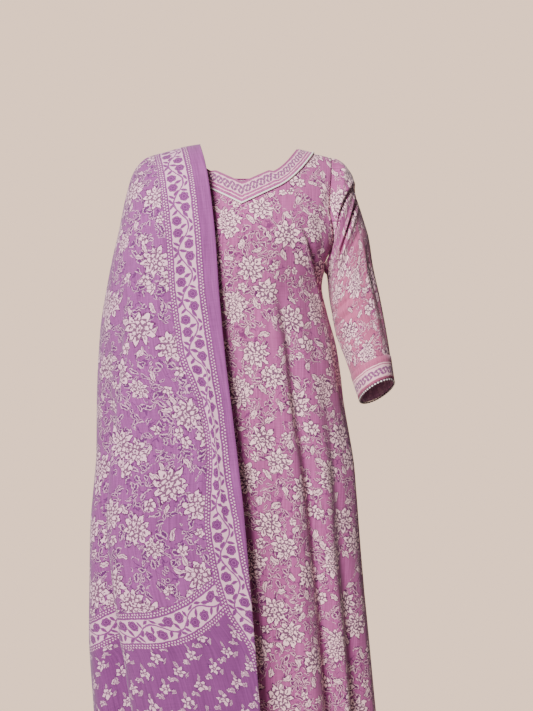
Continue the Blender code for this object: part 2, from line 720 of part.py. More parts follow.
def build():
    for old in list(bpy.data.objects):
        bpy.data.objects.remove(old)
    pieces = collection_named("kurti_set")
    cotton = material_named("printed_cotton", LAVENDER, 0.85)
    sleeve_cotton = material_named("printed_cotton_sleeve", PINK_LAVENDER, 0.85)
    banding = material_named("printed_banding", OFF_WHITE, 0.85)
    trim = material_named("white_cord", WHITE, 0.70)
    piping = material_named("piping", LAVENDER, 0.80)
    voile = material_named("dupatta_cotton", VIOLET, 0.85)

    front = kurti_panel(-1)
    back = kurti_panel(1)
    panel_object("kurti_front", front, cotton, pieces, flip=False)
    panel_object("kurti_back", back, cotton, pieces, flip=True)
    wall("neck_band_front", band_grid(-1, BAND_LIFT + BAND_WALL), BAND_WALL, banding, pieces)
    wall("neck_band_back", band_grid(1, BAND_LIFT + BAND_WALL), BAND_WALL, banding, pieces)
    cord_object("neck_piping", neck_loop(0.0, 1.0, PIPING_OUT), PIPING_RADIUS, piping, pieces)
    cord_object("neck_cord", neck_loop(CORD_LIFT, 0.0, CORD_OUT), CORD_RADIUS, trim, pieces)
    for sign, side_name in ((1, "left"), (-1, "right")):
        sleeve = sleeve_grid(sign, front, back)
        turned = sign < 0
        cuff = cuff_grid(sleeve, turned)
        end = (sleeve[-1] - sleeve[-2]) / np.linalg.norm(sleeve[-1] - sleeve[-2], axis=1, keepdims=True)
        edge = sleeve[-1] + end * (CUFF_EDGE_RADIUS + CUFF_EDGE_GAP)
        wall("sleeve_" + side_name, sleeve, WALL, sleeve_cotton, pieces, wrap=True, flip=turned)
        wall("cuff_band_" + side_name, cuff, CUFF_WALL, banding, pieces, wrap=True, flip=turned)
        cord_object("cuff_edge_" + side_name, edge, CUFF_EDGE_RADIUS, trim, pieces)
    make_dupatta(voile, pieces)


build()
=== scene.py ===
# %% [markdown]
# # A kurti set in printed cotton
# The set is an A-line kurti with three-quarter sleeves and a long dupatta worn over one shoulder.
# Each garment piece is a thin cloth shell, laid on the form of the CAD solid that it stands for.
# The block print, the borders and the weave are worked out by shader maths on each piece's own
# UV map, in metres, so the pattern follows the cloth round every fold.

# %% Load the fixed frame
import math

import bpy
import numpy as np
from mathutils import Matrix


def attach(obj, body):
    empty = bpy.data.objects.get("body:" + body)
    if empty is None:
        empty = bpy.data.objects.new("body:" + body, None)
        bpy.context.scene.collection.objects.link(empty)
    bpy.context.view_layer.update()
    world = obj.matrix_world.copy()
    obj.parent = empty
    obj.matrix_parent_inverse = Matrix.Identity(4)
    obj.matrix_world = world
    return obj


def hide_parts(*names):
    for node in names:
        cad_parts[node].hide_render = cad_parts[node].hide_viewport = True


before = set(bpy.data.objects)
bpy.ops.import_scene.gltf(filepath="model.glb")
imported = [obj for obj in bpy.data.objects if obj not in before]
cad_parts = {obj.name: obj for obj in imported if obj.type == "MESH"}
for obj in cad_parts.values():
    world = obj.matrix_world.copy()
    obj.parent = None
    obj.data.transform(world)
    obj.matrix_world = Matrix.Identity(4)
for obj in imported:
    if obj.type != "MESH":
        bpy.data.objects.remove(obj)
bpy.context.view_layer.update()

# %% [markdown]
# The camera stands level in front of the garment, a little to its left, as in the photograph. A level
# camera keeps the long upright folds upright, which a tilted one would not.

# %% Camera
VIEW_PLACE = (0.044, -2.2, -0.383)
VIEW_HEIGHT = 1.33

bpy.ops.object.select_all(action="DESELECT")
bpy.ops.object.camera_add(location=VIEW_PLACE, rotation=(math.pi / 2, 0.0, 0.0))
camera = bpy.context.object
camera.name = "view"
camera.data.sensor_fit = "VERTICAL"
camera.data.sensor_height = 36.0
camera.data.sensor_width = 36.0
camera.data.lens = 36.0 * abs(VIEW_PLACE[1]) / VIEW_HEIGHT
bpy.context.scene.camera = camera
print("lens", round(camera.data.lens, 1), "mm")

# %% [markdown]
# Soft studio light: a wide lamp high in front, on the side of the stole, gives the shading across the
# folds. A weak one beside it catches the stole, one behind draws the edges, and a plain warm grey room
# does the rest. The backdrop is seen brighter than it lights the cloth, as a lit studio wall some way
# behind would be. The floor is a pale disc under the garment.

# %% Lamps, world and floor
FLOOR_Z = -1.40
FLOOR_RADIUS = 1.05
BACKDROP = (1.60, 1.13, 0.83, 1.0)
ROOM_LIGHT = (0.125, 0.118, 0.115, 1.0)

# Name, place, the point it faces, width, power and colour of each lamp
LAMPS = (
    ("key", (-1.15, -2.45, 1.1), (0.0, 0.0, -0.5), 1.1, 222.0, (1.0, 0.97, 0.94)),
    ("fill", (-2.4, -0.8, 0.2), (0.0, 0.0, -0.5), 1.2, 5.0, (1.0, 0.97, 0.95)),
    ("rear", (0.6, 2.4, 0.9), (0.0, 0.0, -0.4), 1.6, 26.0, (1.0, 0.98, 0.96)),
)


def lamp(name, place, aim, size, power, tint):
    """A square soft lamp at a place, turned towards a point."""
    bpy.ops.object.light_add(type="AREA", location=place)
    made = bpy.context.object
    made.name = name
    made.data.size = size
    made.data.energy = power
    made.data.color = tint
    way = np.array(aim) - np.array(place)
    flat = math.hypot(way[0], way[1])
    made.rotation_euler = (math.atan2(flat, -way[2]), 0.0, math.atan2(-way[0], way[1]))


for row in LAMPS:
    lamp(*row)

world = bpy.data.worlds.new("studio")
world.use_nodes = True
room = world.node_tree.nodes["Background"]
room.inputs["Color"].default_value = ROOM_LIGHT
backdrop = world.node_tree.nodes.new("ShaderNodeBackground")
backdrop.inputs["Color"].default_value = BACKDROP
ray = world.node_tree.nodes.new("ShaderNodeLightPath")
choice = world.node_tree.nodes.new("ShaderNodeMixShader")
world.node_tree.links.new(ray.outputs["Is Camera Ray"], choice.inputs[0])
world.node_tree.links.new(room.outputs[0], choice.inputs[1])
world.node_tree.links.new(backdrop.outputs[0], choice.inputs[2])
world.node_tree.links.new(choice.outputs[0], world.node_tree.nodes["World Output"].inputs[0])
bpy.context.scene.world = world

bpy.ops.mesh.primitive_circle_add(
    vertices=96, radius=FLOOR_RADIUS, fill_type="NGON", location=(0.0, 0.0, FLOOR_Z)
)
floor = bpy.context.object
floor.name = "floor"
print(len(LAMPS), "lamps and a floor", round(-FLOOR_Z, 2), "m below the shoulders")

# %% [markdown]
# The sizes of the garment are short tables: a row for each ring or section, a named column for each
# measure. They are the CAD part's own tables, so the cloth lies where the solids are. A smooth reader
# gives a value between the rows without overshooting, as a pattern maker's curve does.

# %% Tables of the kurti
KURTI_LENGTH = 1.046
SEAM_GAP = 0.0003
SEAM_STRIP = 0.008
UNDERARM_Z = -0.228
CORNER_Z = -0.214
CORNER_PLACE = 0.80
CORNER_RISE = 0.12
CORNER_BEND = 1.6
STRIP_PLACE = 0.980
NECK_HALF = 0.103
SHOULDER_TIP_X = 0.165
SHOULDER_DROP = 0.015
SHOULDER_ROUND = 1.6
RING_ROUND = 2.3
BUST_Z = -0.175
BLADE_Z = -0.150

TORSO_COLUMNS = ("z", "half_width", "front_depth", "back_depth")
TORSO = (
    (0.000, 0.200, 0.104, 0.088),
    (-0.080, 0.197, 0.114, 0.098),
    (-0.165, 0.184, 0.124, 0.104),
    (-0.228, 0.1515, 0.122, 0.102),
    (-0.255, 0.1470, 0.120, 0.101),
    (-0.300, 0.1560, 0.117, 0.100),
    (-0.367, 0.1740, 0.116, 0.101),
    (-0.470, 0.1890, 0.119, 0.112),
    (-0.592, 0.2085, 0.124, 0.121),
    (-0.728, 0.2180, 0.130, 0.126),
    (-0.867, 0.2320, 0.138, 0.132),
    (-1.046, 0.2490, 0.148, 0.141),
)
ARMHOLE_COLUMNS = ("z", "x")
ARMHOLE = (
    (-0.015, 0.1650),
    (-0.100, 0.1610),
    (-0.170, 0.1570),
    (-0.228, 0.1515),
)
FOLD_COLUMNS = ("at_top", "at_hem", "start_z", "spread", "height")
FRONT_FOLDS = (
    (0.20, 0.34, -0.24, 0.060, 0.012),
    (0.32, 0.46, -0.24, 0.050, -0.015),
    (0.50, 0.54, -0.42, 0.045, 0.010),
    (0.60, 0.63, -0.42, 0.050, -0.015),
    (0.78, 0.79, -0.45, 0.060, 0.006),
    (0.02, 0.06, -0.45, 0.070, -0.004),
    (-0.22, -0.30, -0.30, 0.060, 0.007),
    (-0.34, -0.44, -0.30, 0.055, -0.012),
    (-0.60, -0.62, -0.42, 0.055, -0.010),
)
BACK_FOLDS = (
    (0.10, 0.14, -0.36, 0.060, 0.010),
    (0.24, 0.30, -0.40, 0.055, -0.013),
    (0.44, 0.50, -0.36, 0.055, 0.010),
    (0.60, 0.64, -0.44, 0.050, -0.013),
    (-0.06, -0.04, -0.42, 0.055, -0.011),
    (-0.22, -0.26, -0.38, 0.060, 0.009),
    (-0.40, -0.46, -0.36, 0.055, -0.013),
    (-0.62, -0.66, -0.44, 0.055, -0.010),
)


def smooth_reader(columns, rows):
    """A function that reads a named column of a table at any value of its first column."""
    data = np.array(sorted(rows), dtype=float)
    knots = data[:, 0]
    gaps = np.diff(knots)

    def read(name, at):
        values = data[:, columns.index(name)]
        rises = np.diff(values) / gaps
        slopes = np.empty_like(values)
        slopes[0] = rises[0]
        slopes[-1] = rises[-1]
        same_way = rises[1:] * rises[:-1] > 0
        total = np.where(same_way, rises[1:] + rises[:-1], 1.0)
        slopes[1:-1] = np.where(same_way, 2 * rises[1:] * rises[:-1] / total, 0.0)
        at = np.clip(np.asarray(at, dtype=float), knots[0], knots[-1])
        i = np.clip(np.searchsorted(knots, at) - 1, 0, len(knots) - 2)
        t = (at - knots[i]) / gaps[i]
        start = values[i] * (1 + 2 * t) * (1 - t) ** 2 + slopes[i] * gaps[i] * t * (1 - t) ** 2
        end = values[i + 1] * (3 - 2 * t) * t**2 - slopes[i + 1] * gaps[i] * (1 - t) * t**2
        return start + end

    return read


torso = smooth_reader(TORSO_COLUMNS, TORSO)
armhole = smooth_reader(ARMHOLE_COLUMNS, ARMHOLE)
print("half width at the hem", float(torso("half_width", -KURTI_LENGTH)))

# %% [markdown]
# A crease is a soft trough or ridge along a short line. Its table gives both ends, its width and its
# height; a "step" is high on one side and low on the other, as where cloth laps over itself. Each one
# fades out at its ends, and no two are alike, because even creases look like a machine's work.

# %% Helpers for points and creases


def ease(low, high, value):
    """0 below low, 1 above high, smooth between."""
    t = np.clip((value - low) / (high - low), 0.0, 1.0)
    return t * t * (3 - 2 * t)


def unit(vectors):
    return vectors / np.maximum(np.linalg.norm(vectors, axis=-1, keepdims=True), 1e-12)


def point(x, y, z):
    return np.stack(np.broadcast_arrays(x, y, z), axis=-1).astype(float)


CREASE_COLUMNS = ("a0", "b0", "a1", "b1", "width", "height", "step")


def crease_height(table, a, b):
    """Height of the creases at places a, b on a sheet, all in metres."""
    total = np.zeros(np.broadcast(a, b).shape)
    for row in table:
        crease = dict(zip(CREASE_COLUMNS, row))
        run = np.array([crease["a1"] - crease["a0"], crease["b1"] - crease["b0"]])
        length = np.hypot(*run)
        run = run / length
        da, db = a - crease["a0"], b - crease["b0"]
        along = (da * run[0] + db * run[1]) / length
        off = (da * run[1] - db * run[0]) / crease["width"]
        fade = np.clip(1 - np.abs(2 * along - 1) ** 3, 0.0, 1.0) ** 0.7
        hump = np.exp(-(off**2))
        lap = -np.tanh(3 * off) * np.exp(-((off / 1.6) ** 2))
        total += crease["height"] * fade * (hump * (1 - crease["step"]) + lap * crease["step"])
    return total


print("a 1 mm ridge, 5 mm off:", crease_height(((0, 0, 0, 1, 0.005, 0.001, 0),), 0.005, 0.5))

# %% [markdown]
# The kurti's body is an oval ring at each height. The front and the back close in to the shoulder
# seams, and long folds fall from the bust and the waist to the hem, deeper the lower they get.

# %% The body's surface


def shoulder_z(x):
    slope = SHOULDER_DROP / (SHOULDER_TIP_X - NECK_HALF)
    return -slope * np.maximum(np.abs(x) - NECK_HALF, 0.0)


def fold_height(folds, across, z):
    """How far the folds push the panel out at a place across it, from -1 to 1."""
    total = np.zeros(np.broadcast(across, z).shape)
    for row in folds:
        fold = dict(zip(FOLD_COLUMNS, row))
        grown = np.clip((fold["start_z"] - z) / (fold["start_z"] + KURTI_LENGTH), 0.0, 1.0)
        centre = fold["at_top"] + (fold["at_hem"] - fold["at_top"]) * grown
        total += fold["height"] * grown**0.8 * np.exp(-(((across - centre) / fold["spread"]) ** 2))
    return total


LAP_COLUMNS = ("z", "across")
LAP = (
    (-0.230, 0.235), (-0.289, 0.266), (-0.368, 0.290), (-0.460, 0.307), (-0.557, 0.339),
    (-0.637, 0.367), (-0.743, 0.397), (-0.812, 0.414), (-0.918, 0.417), (-1.046, 0.409),
)
lap_line = smooth_reader(LAP_COLUMNS, LAP)
LAP_HEIGHT = 0.0060
LAP_REACH = 0.020
LAP_EDGE = 0.0045
LAP_START = (0.22, 0.34)
OVAL_ARC = 1.18
SEAM_QUIET = 0.06

# Creases of the front and the back: a is metres across from the centre line, b is the height
FRONT_CREASES = (
    (0.082, -0.150, 0.150, -0.300, 0.0075, -0.0060, 1.0),
    (0.128, -0.140, 0.150, -0.235, 0.007, 0.0020, 0.0),
    (0.150, -0.060, 0.112, -0.165, 0.010, -0.0022, 0.0),
    (0.150, -0.085, 0.120, -0.215, 0.008, -0.0020, 0.0),
    (0.060, -0.185, 0.082, -0.300, 0.014, -0.0022, 0.0),
    (0.012, -0.270, 0.008, -0.560, 0.0060, -0.0022, 0.0),
    (0.026, -0.250, 0.024, -0.520, 0.0055, 0.0016, 0.0),
    (0.036, -0.300, 0.040, -0.600, 0.0060, -0.0020, 0.0),
    (-0.004, -0.330, -0.008, -0.640, 0.0070, -0.0016, 0.0),
    (0.052, -0.420, 0.064, -0.820, 0.0100, -0.0026, 0.0),
    (0.020, -0.620, 0.030, -0.980, 0.0110, 0.0026, 0.0),
    (0.165, -0.330, 0.205, -0.560, 0.0100, -0.0030, 0.0),
    (0.190, -0.480, 0.240, -0.840, 0.0120, 0.0030, 0.0),
    (0.216, -0.430, 0.262, -0.900, 0.0100, -0.0034, 0.0),
    (0.150, -0.620, 0.170, -1.050, 0.0110, 0.0030, 0.0),
    (0.245, -0.650, 0.290, -1.060, 0.0120, -0.0040, 0.0),
    (0.095, -0.280, 0.120, -0.420, 0.0090, -0.0022, 0.0),
    (-0.060, -0.300, -0.070, -0.700, 0.0100, -0.0020, 0.0),
    (-0.130, -0.260, -0.160, -0.620, 0.0120, 0.0024, 0.0),
    (-0.110, -0.500, -0.130, -0.960, 0.0130, -0.0030, 0.0),
    (-0.150, -0.080, -0.115, -0.200, 0.009, -0.0020, 0.0),
    (-0.200, -0.420, -0.240, -0.900, 0.0130, -0.0030, 0.0),
)
BACK_CREASES = (
    (0.150, -0.070, 0.105, -0.210, 0.010, -0.0022, 0.0),
    (-0.150, -0.075, -0.110, -0.200, 0.010, -0.0022, 0.0),
    (0.030, -0.170, 0.055, -0.330, 0.012, -0.0020, 0.0),
    (-0.035, -0.180, -0.060, -0.340, 0.012, -0.0020, 0.0),
    (0.000, -0.250, 0.004, -0.520, 0.009, 0.0018, 0.0),
    (0.090, -0.270, 0.110, -0.560, 0.010, 0.0022, 0.0),
    (-0.090, -0.280, -0.105, -0.600, 0.010, 0.0022, 0.0),
    (0.060, -0.420, 0.070, -0.900, 0.011, -0.0026, 0.0),
    (-0.020, -0.500, -0.024, -1.000, 0.012, 0.0024, 0.0),
    (-0.140, -0.420, -0.170, -0.950, 0.012, -0.0030, 0.0),
    (0.165, -0.420, 0.200, -0.900, 0.012, -0.0030, 0.0),
    (0.220, -0.550, 0.260, -1.050, 0.012, 0.0030, 0.0),
    (-0.220, -0.550, -0.255, -1.050, 0.012, 0.0030, 0.0),
)


def body_surface(x, z, side, creased=True):
    """A point on the front (side -1) or the back (side 1) of the kurti, and its outward way."""
    half = torso("half_width", z)
    depth = torso("front_depth" if side < 0 else "back_depth", z) - SEAM_STRIP
    top = BUST_Z if side < 0 else BLADE_Z
    share = np.clip(np.abs(x) / half, 0.0, 1.0)
    swell = np.sqrt(1 - share**RING_ROUND)
    climb = np.clip((z - top) / (shoulder_z(x) - top), 0.0, 1.0)
    over = (1 - climb**SHOULDER_ROUND) ** (1 / SHOULDER_ROUND)
    y = side * (SEAM_STRIP + depth * swell * over)
    across = np.arcsin(np.clip(x / half, -1.0, 1.0)) / (math.pi / 2)
    height = fold_height(FRONT_FOLDS if side < 0 else BACK_FOLDS, across, z)
    if creased:
        metres = across * half * OVAL_ARC
        quiet = ease(0.0, SEAM_QUIET, shoulder_z(x) - z)
        height = height + crease_height(FRONT_CREASES if side < 0 else BACK_CREASES, metres, z) * quiet
        if side < 0:
            off = (across - lap_line("across", z)) * half * OVAL_ARC
            shape = -np.tanh(off / LAP_EDGE) * np.exp(-((off / LAP_REACH) ** 2))
            height = height + LAP_HEIGHT * ease(*LAP_START, -z) * shape
    outward = unit(point(x / half**2, side * swell / depth, 0.0))
    return point(x, y, z) + outward * height[..., None]


bust = body_surface(np.array(0.0), np.array(BUST_Z), -1)
print("depth of the front at the bust", round(float(-bust[1]), 3))

# %% [markdown]
# The neckline is a round scoop from each shoulder to a small cusp, then a straight V. A band is sewn on
# round it, so both edges of the band are curves of their own.

# %% Neckline curves
V_DEPTH = 0.0730
CUSP_X = 0.0490
CUSP_DEPTH = 0.0490
SCOOP_X = 0.0572
SCOOP_DEPTH = 0.0507
SCOOP_SLOPE = 0.50
BACK_NECK_DEPTH = 0.046
BACK_NECK_ROUND = 3.0
BAND_SHOULDER_X = 0.1296
BAND_V_DEPTH = 0.1107
BAND_SLOPE = 0.515
BAND_CUSP_X = 0.0633
BAND_SCOOP_X = 0.0690
BACK_BAND_WIDTH = 0.029


def front_neck_z(x):
    x = np.abs(x)
    run = NECK_HALF - SCOOP_X
    bend = (SCOOP_DEPTH - SCOOP_SLOPE * run) / run**2
    scoop = -SCOOP_DEPTH + SCOOP_SLOPE * (x - SCOOP_X) + bend * (x - SCOOP_X) ** 2
    straight = -V_DEPTH + (V_DEPTH - CUSP_DEPTH) * x / CUSP_X
    step = -CUSP_DEPTH + (CUSP_DEPTH - SCOOP_DEPTH) * (x - CUSP_X) / (SCOOP_X - CUSP_X)
    return np.where(x < CUSP_X, straight, np.where(x < SCOOP_X, step, scoop))


def front_band_z(x):
    run = BAND_SHOULDER_X - BAND_CUSP_X
    rise = shoulder_z(BAND_SHOULDER_X) + BAND_V_DEPTH - BAND_SLOPE * BAND_SHOULDER_X
    bend = rise / run**2
    return -BAND_V_DEPTH + BAND_SLOPE * np.abs(x) + bend * np.maximum(np.abs(x) - BAND_CUSP_X, 0) ** 2


def back_neck_z(x):
    share = np.clip(np.abs(x) / NECK_HALF, 0.0, 1.0)
    return -BACK_NECK_DEPTH * (1 - share**BACK_NECK_ROUND)


def back_band_z(x):
    share = np.clip(np.abs(x) / BAND_SHOULDER_X, 0.0, 1.0)
    low = shoulder_z(BAND_SHOULDER_X)
    return low - (BACK_NECK_DEPTH + BACK_BAND_WIDTH + low) * (1 - share**BACK_NECK_ROUND)


print("the V reaches", V_DEPTH, "m below the shoulders")

# %% [markdown]
# A garment piece is a grid of points with a UV map in metres, so that a print keeps its size. The grid
# is the outside of the cloth. Solidify gives it its thickness inwards, with a paler wrong side, as a
# block print only partly soaks through.

# %% Helpers that make cloth
pieces = []


def corners(grid):
    """The four corners of each cell of a grid, wound so that row up and column right face the viewer."""
    found = np.stack((grid[:-1, :-1], grid[:-1, 1:], grid[1:, 1:], grid[1:, :-1]), axis=2)
    return found.reshape(-1, 4, *grid.shape[2:])


def run_along(points, axis):
    """Distance along each line of a grid from its first point."""
    points = np.moveaxis(points, axis, 0)
    steps = np.linalg.norm(np.diff(points, axis=0), axis=-1)
    total = np.concatenate([np.zeros((1,) + steps.shape[1:]), np.cumsum(steps, axis=0)])
    return np.moveaxis(total, 0, axis)


def pick(piece):
    """Select one piece alone."""
    bpy.ops.object.select_all(action="DESELECT")
    piece.select_set(True)
    bpy.context.view_layer.objects.active = piece


def mesh_piece(name, points, faces, uvs):
    """A mesh at the origin with its UV maps: uvs holds one value for each corner of each face."""
    mesh = bpy.data.meshes.new(name)
    mesh.from_pydata(points.tolist(), [], faces.tolist())
    for layer, values in uvs.items():
        made = mesh.uv_layers.new(name=layer)
        made.data.foreach_set("uv", np.ascontiguousarray(values, np.float32).reshape(-1))
    mesh.shade_smooth()
    piece = bpy.data.objects.new(name, mesh)
    bpy.context.scene.collection.objects.link(piece)
    pieces.append(piece)
    return piece


def cloth_piece(name, points, faces, uvs, thickness, flip=False):
    """A sheet with its thickness inwards. The second material slot is the wrong side."""
    if flip:
        faces = faces[:, ::-1]
        uvs = {layer: values[:, ::-1] for layer, values in uvs.items()}
    piece = mesh_piece(name, points, faces, uvs)
    solid = piece.modifiers.new("thickness", "SOLIDIFY")
    solid.thickness = thickness
    solid.offset = -1.0
    solid.material_offset = 1
    for slot_name in ("right side", "wrong side"):
        piece.data.materials.append(bpy.data.materials.new(name + " " + slot_name))
    pick(piece)
    bpy.ops.object.modifier_apply(modifier=solid.name)
    print(name, len(piece.data.polygons), "faces")


def grid_piece(name, grid, uvs, thickness, wrap=False, flip=False):
    """A sheet from one grid. A wrapped grid closes on itself, and its UV maps have a column more."""
    rows, columns = grid.shape[:2]
    number = np.arange(rows * columns).reshape(rows, columns)
    if wrap:
        number = np.concatenate([number, number[:, :1]], axis=1)
    face_uvs = {layer: corners(values) for layer, values in uvs.items()}
    cloth_piece(name, grid.reshape(-1, 3), corners(number), face_uvs, thickness, flip)


def outward_normals(grid, wrap=False):
    if wrap:
        along = np.roll(grid, -1, axis=1) - np.roll(grid, 1, axis=1)
    else:
        along = np.gradient(grid, axis=1)
    return unit(np.cross(along, np.gradient(grid, axis=0)))


# %% [markdown]
# The front and the back are cut as one piece each. Each is a low grid from side seam to side seam, and
# a high grid between the armholes that ends at the neckline and the shoulder seams. Both edges of a
# seam dip a little, which draws the line of the sewing.

# %% Front and back of the kurti
NECK_STEPS = 12
SCOOP_STEPS = 18
SCOOP_CLOSENESS = 1.2
SHOULDER_STEPS = 16
SIDE_STEPS = 8
SEAM_STEPS = 2
LOW_ROWS = 168
HIGH_ROWS = 56
BACK_SCOOP_START = 0.27
NECK_STRIP = 0.003
NECK_POINT_GAP = 0.0010
SEAM_DIP = 0.0007
CLOTH = 0.0009
TOP_ROUNDS = 12
ARC_STEPS = 32


def panel_places(side):
    """Places of a panel's columns, from 0 at its centre to 1 at the armhole."""
    end = NECK_HALF / SHOULDER_TIP_X
    if side < 0:
        start = SCOOP_X / float(armhole("x", -SCOOP_DEPTH))
        middle = np.linspace(0.0, CUSP_X / float(armhole("x", -CUSP_DEPTH)), NECK_STEPS + 1)
        power = SCOOP_CLOSENESS
    else:
        start = BACK_SCOOP_START
        middle = np.linspace(0.0, start, NECK_STEPS + 1)[:-1]
        power = 1.0
    scoop = end - (end - start) * np.linspace(1.0, 0.0, SCOOP_STEPS + 1) ** power
    half = np.concatenate([middle, scoop, np.linspace(end, 1.0, SHOULDER_STEPS + 1)[1:]])
    return np.concatenate([-half[:0:-1], half])


def panel_top(place, side):
    """Height where a column ends: the neckline in the middle, the shoulder seam outside it."""
    neck = front_neck_z if side < 0 else back_neck_z
    z = np.full(place.shape, -SHOULDER_DROP)
    for _ in range(TOP_ROUNDS):
        x = place * armhole("x", z)
        z = np.where(np.abs(x) < NECK_HALF - 1e-6, neck(x), shoulder_z(x))
    return z


def panel_x(place, z):
    low_x = torso("half_width", z) * np.sin(place * CORNER_PLACE * math.pi / 2)
    high_x = armhole("x", z) * place
    return low_x + (high_x - low_x) * ease(UNDERARM_Z, UNDERARM_Z + CORNER_RISE, z)


def low_part(side):
    """x, z and seam share of the low grid's points."""
    place = panel_places(side)
    level = np.linspace(-KURTI_LENGTH, CORNER_Z, LOW_ROWS + 1)
    z = np.repeat(level[:, None], len(place), axis=1)
    x = panel_x(place, z)
    seam = np.zeros_like(z)
    open_places = np.linspace(CORNER_PLACE, STRIP_PLACE, SIDE_STEPS + 1)[1:]
    strip_places = np.linspace(STRIP_PLACE, 1.0, SEAM_STEPS + 1)[1:]
    beside = np.concatenate([open_places, strip_places])
    top = UNDERARM_Z + (CORNER_Z - UNDERARM_Z) * ((1 - beside) / (1 - CORNER_PLACE)) ** CORNER_BEND
    share = (level + KURTI_LENGTH) / (CORNER_Z + KURTI_LENGTH)
    side_z = -KURTI_LENGTH + (top + KURTI_LENGTH) * share[:, None]
    turn = CORNER_PLACE + (beside - CORNER_PLACE) / (STRIP_PLACE - CORNER_PLACE) * (1 - CORNER_PLACE)
    side_x = torso("half_width", side_z) * np.sin(np.minimum(turn, 1.0) * math.pi / 2)
    in_strip = np.clip((beside - STRIP_PLACE) / (1 - STRIP_PLACE), 0.0, 1.0)
    side_seam = np.repeat(in_strip[None], len(level), axis=0)
    x = np.concatenate([-side_x[:, ::-1], x, side_x], axis=1)
    z = np.concatenate([side_z[:, ::-1], z, side_z], axis=1)
    seam = np.concatenate([side_seam[:, ::-1], seam, side_seam], axis=1)
    return x, z, seam


def high_part(side):
    """x, z and seam share of the high grid's points."""
    place = panel_places(side)
    top = panel_top(place, side)
    end_x = place * armhole("x", top)
    at_neck = np.abs(end_x) < NECK_HALF - 1e-5
    strip = np.where(at_neck, np.minimum(NECK_STRIP, 0.4 * np.abs(top)), 0.0)
    climb = np.sin(np.linspace(0.0, math.pi / 2, HIGH_ROWS + 1))[:, None]
    z = CORNER_Z + (top - strip - CORNER_Z) * climb
    last = np.linspace(0.0, 1.0, SEAM_STEPS + 2)[1:, None]
    z = np.concatenate([z, top - strip * (1 - last)])
    seam = np.concatenate([np.zeros((len(climb), len(place))), last * ~at_neck])
    return panel_x(place, z), z, seam


def panel_points(x, z, seam, side, sideways):
    """Points of a grid. Its seam strip turns in to the side or the shoulder seam."""
    found = body_surface(x, z, side)
    gap = np.where(np.abs(np.abs(x) - NECK_HALF) < 1e-4, NECK_POINT_GAP, SEAM_GAP / 2)
    found[..., 1] += (side * gap - found[..., 1]) * seam
    if sideways:
        found[..., 0] -= np.sign(x) * SEAM_DIP * seam**2
    else:
        found[..., 2] -= SEAM_DIP * seam**2
    return found


def arc(path):
    """Length of a line on the cloth, for many lines at once."""
    line = np.array([path(share) for share in np.linspace(0.0, 1.0, ARC_STEPS + 1)])
    return np.linalg.norm(np.diff(line, axis=0), axis=-1).sum(axis=0)


def panel_uv(x, z, seam, side):
    """u runs out from the centre line, v runs down from the shoulders."""
    u = arc(lambda share: body_surface(x * share, z, side, False)) + SEAM_STRIP * seam * (z < CORNER_Z)
    above = np.maximum(z, CORNER_Z)
    rise = arc(lambda share: body_surface(x, CORNER_Z + (above - CORNER_Z) * share, side, False))
    v = -np.minimum(z, CORNER_Z) - rise - SEAM_STRIP * seam * (z > CORNER_Z)
    return np.stack([np.sign(x) * u, v], axis=-1)


def kurti_panel(side):
    low, high = low_part(side), high_part(side)
    grids = (panel_points(*low, side, True), panel_points(*high, side, False))
    return grids, (panel_uv(*low, side), panel_uv(*high, side))


def panel_object(name, panel, flip):
    """The low and the high grid share the row at the armhole's corner."""
    (low, high), (low_uv, high_uv) = panel
    rows, columns = low.shape[:2]
    beside = SIDE_STEPS + SEAM_STEPS
    number = np.arange(rows * columns).reshape(rows, columns)
    across = columns - 2 * beside
    above = rows * columns + np.arange((len(high) - 1) * across).reshape(-1, across)
    above = np.concatenate([number[-1:, beside:-beside], above])
    faces = np.concatenate([corners(number), corners(above)])
    points = np.concatenate([low.reshape(-1, 3), high[1:].reshape(-1, 3)])
    uv = np.concatenate([low_uv.reshape(-1, 2), high_uv[1:].reshape(-1, 2)])
    cloth_piece(name, points, faces, {"cloth": uv[faces]}, CLOTH, flip)


front = kurti_panel(-1)
back = kurti_panel(1)
panel_object("kurti_front_cloth", front, flip=False)
panel_object("kurti_back_cloth", back, flip=True)

# %% [markdown]
# The printed band is sewn on round the neckline over the panels, so its points are the panel's own,
# moved out. Its UV map runs along the neckline and across the band.

# %% Neck bands
BAND_STEPS = 30
BAND_CLOSENESS = 1.5
BAND_ROWS = 14
POINT_STEPS = 12
BACK_NECK_START = 0.042
BACK_BAND_START = 0.054
BAND_LIFT = 0.0020
NECK_BAND_WIDTH = 0.031
BAND_CLOTH = 0.0009


def neck_stations(side):
    """Pairs of x, on the neckline and on the band's outer edge, from the centre to one shoulder."""
    nearness = np.linspace(1.0, 0.0, BAND_STEPS + 1) ** BAND_CLOSENESS
    if side < 0:
        inner = np.linspace(0.0, CUSP_X, POINT_STEPS + 1)
        outer = np.linspace(0.0, BAND_CUSP_X, POINT_STEPS + 1)
        inner_start, outer_start = SCOOP_X, BAND_SCOOP_X
    else:
        inner = np.linspace(0.0, BACK_NECK_START, POINT_STEPS + 1)[:-1]
        outer = np.linspace(0.0, BACK_BAND_START, POINT_STEPS + 1)[:-1]
        inner_start, outer_start = BACK_NECK_START, BACK_BAND_START
    inner = np.concatenate([inner, NECK_HALF - (NECK_HALF - inner_start) * nearness])
    outer = np.concatenate([outer, BAND_SHOULDER_X - (BAND_SHOULDER_X - outer_start) * nearness])
    return inner, outer


